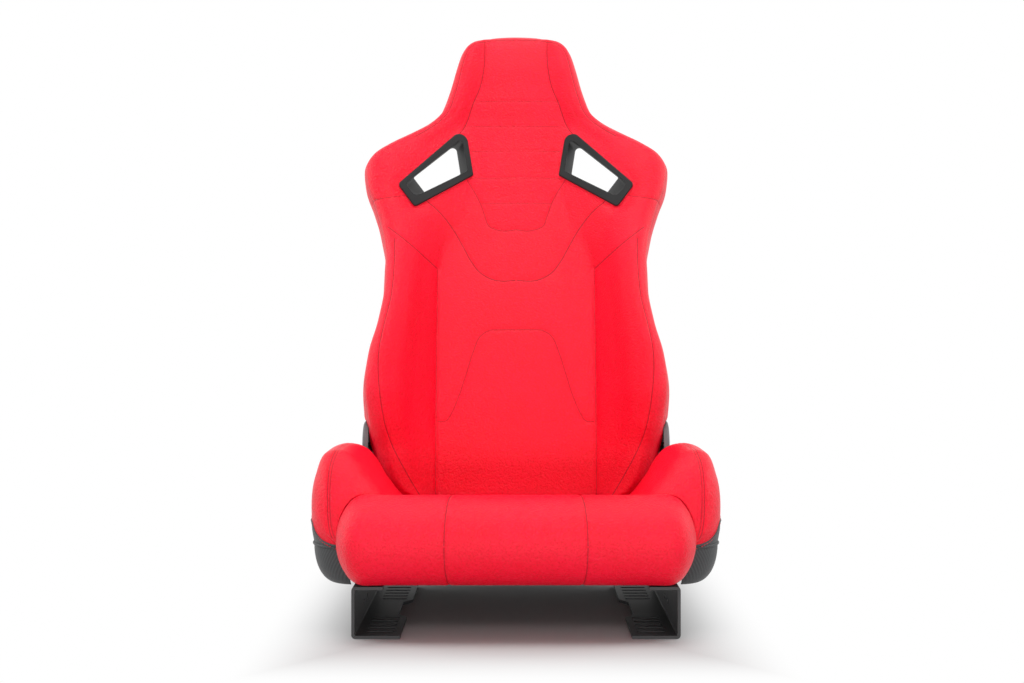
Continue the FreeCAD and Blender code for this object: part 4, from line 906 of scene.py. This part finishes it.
pad = placed(section[..., 0], up[:, None], section[..., 1])

# the crease dies away above the waist, where insert and shoulder are one panel
soft = np.clip((up - 350.0) / 60.0, 0, 1)[:, None] * 0.5
face = pad[:, :front_columns]
for smoothing in range(160):
    face[:, 1:-1, 2] += soft * ((face[:, 2:, 2] + face[:, :-2, 2]) / 2 - face[:, 1:-1, 2])
for smoothing in range(5):
    face[1:-1] += 0.25 * (face[2:] + face[:-2] - 2 * face[1:-1])

RIM_OUTLINE = ((93.0, 615.0), (77.5, 522.0), (181.5, 453.0), (212.0, 493.0))
REAR_INNER = ((114.7, 614.4), (105.3, 555.6), (171.0, 517.0), (193.5, 547.0))
RIM_INNER = ((98.5, 590.5), (88.0, 528.5), (180.0, 472.0), (199.0, 494.0))
RIM_FRONT, RIM_REF, RIM_SLOPE, BEZEL_REAR = 38.0, 80.0, 0.27, -61.0


def outside_of(corners, x, z):
    """Signed distance from an outline: negative inside it."""
    corners = np.array(corners)
    best = np.full(x.shape, 1e9)
    inside = np.ones(x.shape, bool)
    centre = corners.mean(axis=0)
    for a, b in zip(corners, np.roll(corners, -1, axis=0)):
        run = b - a
        along = np.clip(((x - a[0]) * run[0] + (z - a[1]) * run[1]) / (run @ run), 0, 1)
        best = np.minimum(best, np.hypot(x - a[0] - along * run[0], z - a[1] - along * run[1]))
        facing_in = np.sign(run[0] * (centre[1] - a[1]) - run[1] * (centre[0] - a[0]))
        inside &= (run[0] * (z - a[1]) - run[1] * (x - a[0])) * facing_in > 0
    return np.where(inside, -best, best)


def drawn_in(corners, inset):
    """An outline whose edges all move in by inset."""
    corners = [Vector(corner) for corner in corners]
    moved = []
    for before, here, after in zip(corners[-1:] + corners[:-1], corners, corners[1:] + corners[:1]):
        one, two = (before - here).normalized(), (after - here).normalized()
        middle = (one + two).normalized()
        moved.append(tuple(here + middle * (inset / math.sin(one.angle(two) / 2))))
    return moved


RIM_ROUND = 13.0
from_rim = outside_of(drawn_in(RIM_OUTLINE, RIM_ROUND), np.abs(face[..., 0]), face[..., 1]) - RIM_ROUND
rim_level = RIM_FRONT + RIM_SLOPE * (np.abs(face[..., 0]) - RIM_REF) - 4.5
near = bell(np.clip(from_rim, 0, None), 15.0)
face[..., 2] += np.where(face[..., 2] > 5.0, near * (rim_level - face[..., 2]), 0.0)

# room round the hinge, and the rounded bottom that swings over the cushion
radius = np.hypot(pad[..., 1], pad[..., 2])
room = np.clip((radius - 53.0) / 5.0, 0, 1) * 22.0 + 232.6
beside_hinge = 248.0 + 6.6 * np.clip(pad[..., 1] / 15.0, 0, 1)
room = np.where((radius < 88.0) | (pad[..., 1] < -1), np.minimum(room, beside_hinge), 1e3)
pad[..., 0] = np.clip(pad[..., 0], -room, room)
forward_down = np.degrees(np.arctan2(pad[..., 1], pad[..., 2]))
reach = REACH + 12.0 * eased((np.abs(pad[..., 0]) - 140.0) / 14.0) * eased((forward_down + 62.0) / 16.0)
below = (pad[..., 1] < 0) & (radius > reach)
pad[..., 1:] *= np.where(below, reach / np.maximum(radius, 1e-6), 1.0)[..., None]


def two_sided(line):
    return [on_cover(line), on_cover(line * np.array([-1, 1]))]


def on_cover(points):
    """Lifts a line drawn across and up the cover on to its front."""
    points = np.asarray(points, dtype=float)
    lifted = []
    for x, height in points:
        row = int(np.clip(np.searchsorted(up, height) - 1, 0, len(up) - 2))
        share = (height - up[row]) / (up[row + 1] - up[row])
        level = []
        for here in pad[row:row + 2, :front_columns]:
            half_row = here[np.argmax(here[:, 0]):front_columns // 2 + 1]
            level.append(np.interp(-abs(x), -half_row[:, 0], half_row[:, 2]))
        lifted.append((x, height, level[0] * (1 - share) + level[1] * share))
    return np.array(lifted)


def seam(*points):
    """A seam of the cover and its mirrored twin, from a few points across and up."""
    return two_sided(curved(points))


crest_seam = seam((164, -63), (185, -29), (220, 43), (232, 110), (235, 175), (228, 225), (218, 273), (214, 330),
                  (215, 389))
crease = seam((139.6, -60), (139.6, 100), (139.6, 250), (139.6, 300), (139, 344))
diagonal = seam((229, 411), (184, 377.5), (139, 344))
head_sides = seam((57.5, 781), (59, 726), (66, 690), (77, 662), (97, 609), (106, 596))
belly_low = seam((138, 69), (122, 69), (112, 84), (103, 104), (88, 150), (74, 195), (64, 218), (49.5, 229), (25, 231),
                 (0, 231))
outer_v = seam((168.6, 472), (143, 453.5), (114, 420), (95, 386), (80, 358), (64.5, 337.5), (39, 323), (0, 323))
inner_v = seam((91, 516), (77, 493), (65, 469), (57, 446), (49, 425), (31, 417), (0, 418))
bars = [line for height, end in ((662, 77), (615.6, 94), (568, 83), (516, 90), (468, 64))
        for line in seam((0, height), (end, height))]
shoulder_tuck = seam((261, 463.5), (230, 466), (200.5, 474))
double = []
for inset, from_up, to_up in ((4.6, -8.0, 781.0), (8.0, -8.0, 130.0)):
    rows_here = (up > from_up) & (up < to_up)
    double += two_sided(np.stack([half[rows_here] - inset, up[rows_here]], axis=1))
round_head = curved(as_seen(((415, 136), (436, 123.5), (446, 114), (450.5, 106), (453, 98), (455.6, 90), (457.8, 82),
                             (459.8, 74), (461.8, 66), (464, 58), (467, 51), (472, 45.5), (478.5, 42.6), (488, 41.2),
                             (502, 40.3), (515.5, 40)), on_backrest(pad)))
head_edge = [round_head * mirror for name, mirror in SIDES]
strong = crest_seam + diagonal + head_sides + outer_v
weak = belly_low + inner_v + shoulder_tuck

panel_gap = nearness(pad, strong + weak)
bar_gap = nearness(pad, bars)
double_gap = nearness(pad, [dense(line) for line in double])
crease_gap = nearness(pad, crease)
head_gap = nearness(on_backrest(pad), head_edge)
calm = np.clip((pad[..., 1] - 5.0) / 40.0, 0, 1) * np.clip((790.0 - pad[..., 1]) / 25.0, 0, 1)
calm[:, front_columns:] = 0
calm[:, :front_columns] *= np.clip(from_rim / 7.0, 0, 1)

kept = np.ones(pad.shape[:2], bool)
kept[:, :front_columns] = from_rim > -3.5
share_back = (RIM_FRONT - PAD_BACK) / (RIM_FRONT - BEZEL_REAR)
hole = [tuple(a + share_back * (b - a) for a, b in zip(one, two)) for one, two in zip(RIM_INNER, REAR_INNER)]
behind = pad[:, front_columns:]
kept[:, front_columns:] = outside_of(hole, np.abs(behind[..., 0]), behind[..., 1]) > 3.5
shaped = sewn(pad, panel_gap, groove=1.3, width=1.8, puff=1.8, reach=18.0, calm=calm)
out = facing(pad)
fine_gap = np.minimum(np.minimum(double_gap, head_gap), bar_gap)
pull = 0.8 * bell(fine_gap, 1.8) * np.clip(calm * 2, 0, 1) + 1.6 * bell(crease_gap, 1.8)
shaped -= out * pull[..., None]
# painted shade: the cover darkens along its panel and edge seams, and dark strips lie along every seam, the crease, the
# bars and the edge seams
painted_seam_shade = SEAM_PAINTED_SHADE * np.maximum(bell(panel_gap, 1.0), bell(fine_gap, 0.9))
painted_seam_shade[:, front_columns:] = 0
plain_pad, sewn_pad = on_backrest(pad), on_backrest(shaped)
seam_shade_strips("backrest_seam_shade", plain_pad, sewn_pad, [
    (on_backrest(line), dark) for lines, dark in ((strong, 0.9), (weak + crease, 0.6), (bars, 0.35)) for line in lines],
    "backrest")
seam_shade_strips("backrest_edge_seam_shade", plain_pad, sewn_pad,
          [(on_backrest(dense(line)), 0.85) for line in double] + [(line, 0.8) for line in head_edge],
          "backrest", 3.2)
cover = skin("backrest_cover", sewn_pad, painted_seam_shade, suede_cloth, whole(kept))
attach(cover, "backrest")
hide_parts("backrest_insert", *both("backrest_wing"), "headrest_pad")

# Harness bezels: two moulded frames a side in satin black, pushed in from front and rear so that
# they meet inside the foam and clamp the cover's edge.

finished(moulded("bezel_plastic", (0.013, 0.0135, 0.014, 1), (0.021, 0.0215, 0.022, 1), 1200.0, 0.50),
         "black_plastic", *both("harness_bezel_front"), *both("harness_bezel_rear"))

# Floor, light and camera: a grey studio floor that glows white away from the seat, with painted shade in the grey box
# left round it, soft lamps above, in front, low in front and at each side, and the photograph's camera, level with the
# middle of the seat.

FLOOR_RADIUS = 6.0
floor_mesh = bpy.data.meshes.new("studio_floor")
disc = bmesh.new()
bmesh.ops.create_circle(disc, cap_ends=True, radius=FLOOR_RADIUS, segments=96)
disc.to_mesh(floor_mesh)
disc.free()
floor = linked("studio_floor", floor_mesh)
floor.location = (0, 0, -0.0005)
# painted shade: round the seat the floor is left grey paper, darker than the white glow beyond, so the seat's shadow
# there is deepened and given square edges
paper = Finish("studio_paper", Base_Color=(0.48, 0.48, 0.48, 1), Roughness=0.9, Specular_IOR_Level=0.1)
beside, before = (paper.axes().of(axis).math("ABSOLUTE") for axis in "XY")
glow = paper.node("ShaderNodeEmission", None, {"Color": (1, 1, 1, 1), "Strength": 1.0})
glow_beyond_shade_box = paper.eased(beside, 0.18, 0.38).math("MAXIMUM", paper.eased(before, 0.19, 0.44)) * paper.seen()
faded = paper.node("ShaderNodeMixShader", None, {0: glow_beyond_shade_box, 1: Value(paper, paper.shader.outputs[0]), 2: glow})
paper.feed(paper.tree.nodes["Material Output"].inputs["Surface"], faded)
floor_mesh.materials.append(paper.material)

world = bpy.data.worlds.new("studio")
bpy.context.scene.world = world
world.use_nodes = True
air = Nodes(world.node_tree)
sky = air.tree.nodes["Background"]
sky.inputs["Color"].default_value = (1, 1, 1, 1)
sky.inputs["Strength"].default_value = 0.47
white = air.node("ShaderNodeBackground", None, {"Color": (1, 1, 1, 1), "Strength": 1.0})
both_skies = air.node("ShaderNodeMixShader", None, {0: air.seen(), 1: Value(air, sky.outputs[0]), 2: white})
air.feed(air.tree.nodes["World Output"].inputs["Surface"], both_skies)


def lamp(name, size, power, at, towards):
    light = bpy.data.lights.new(name, "AREA")
    light.shape = "RECTANGLE"
    light.size, light.size_y = size
    light.energy = power
    piece = linked(name, light)
    piece.location = at
    piece.rotation_euler = (Vector(towards) - Vector(at)).to_track_quat("-Z", "Y").to_euler()


lamp("top_lamp", (1.5, 0.9), 34.0, (0.0, -0.6, 2.7), (0.0, 0.1, 0.4))
lamp("front_lamp", (2.2, 0.6), 12.0, (0.0, -3.0, 2.1), (0.0, 0.1, 0.5))
lamp("low_lamp", (2.4, 0.24), 22.0, (0.0, -2.3, 0.13), (0.0, 0.1, 0.4))
for name, mirror in SIDES:
    lamp("side_lamp_" + name, (0.9, 1.6), 22.0, mirror * (2.3, 0.6, 1.3), (0.0, 0.1, 0.5))

WIDTH, HEIGHT = 1024.0, 683.0
view = bpy.data.cameras.new("photo_camera")
view.lens = 50.0
view.sensor_width = 36.0
view.shift_x = (WIDTH / 2 - VANISH_X) / WIDTH
view.shift_y = (VANISH_Y - HEIGHT / 2) / WIDTH
camera = linked("photo_camera", view)
camera.location = (0.0, CAMERA_BACK * MM, CAMERA_HEIGHT * MM)
camera.rotation_euler = (math.pi / 2, 0, 0)
bpy.context.scene.camera = camera
bpy.context.scene.view_settings.view_transform = "Standard"
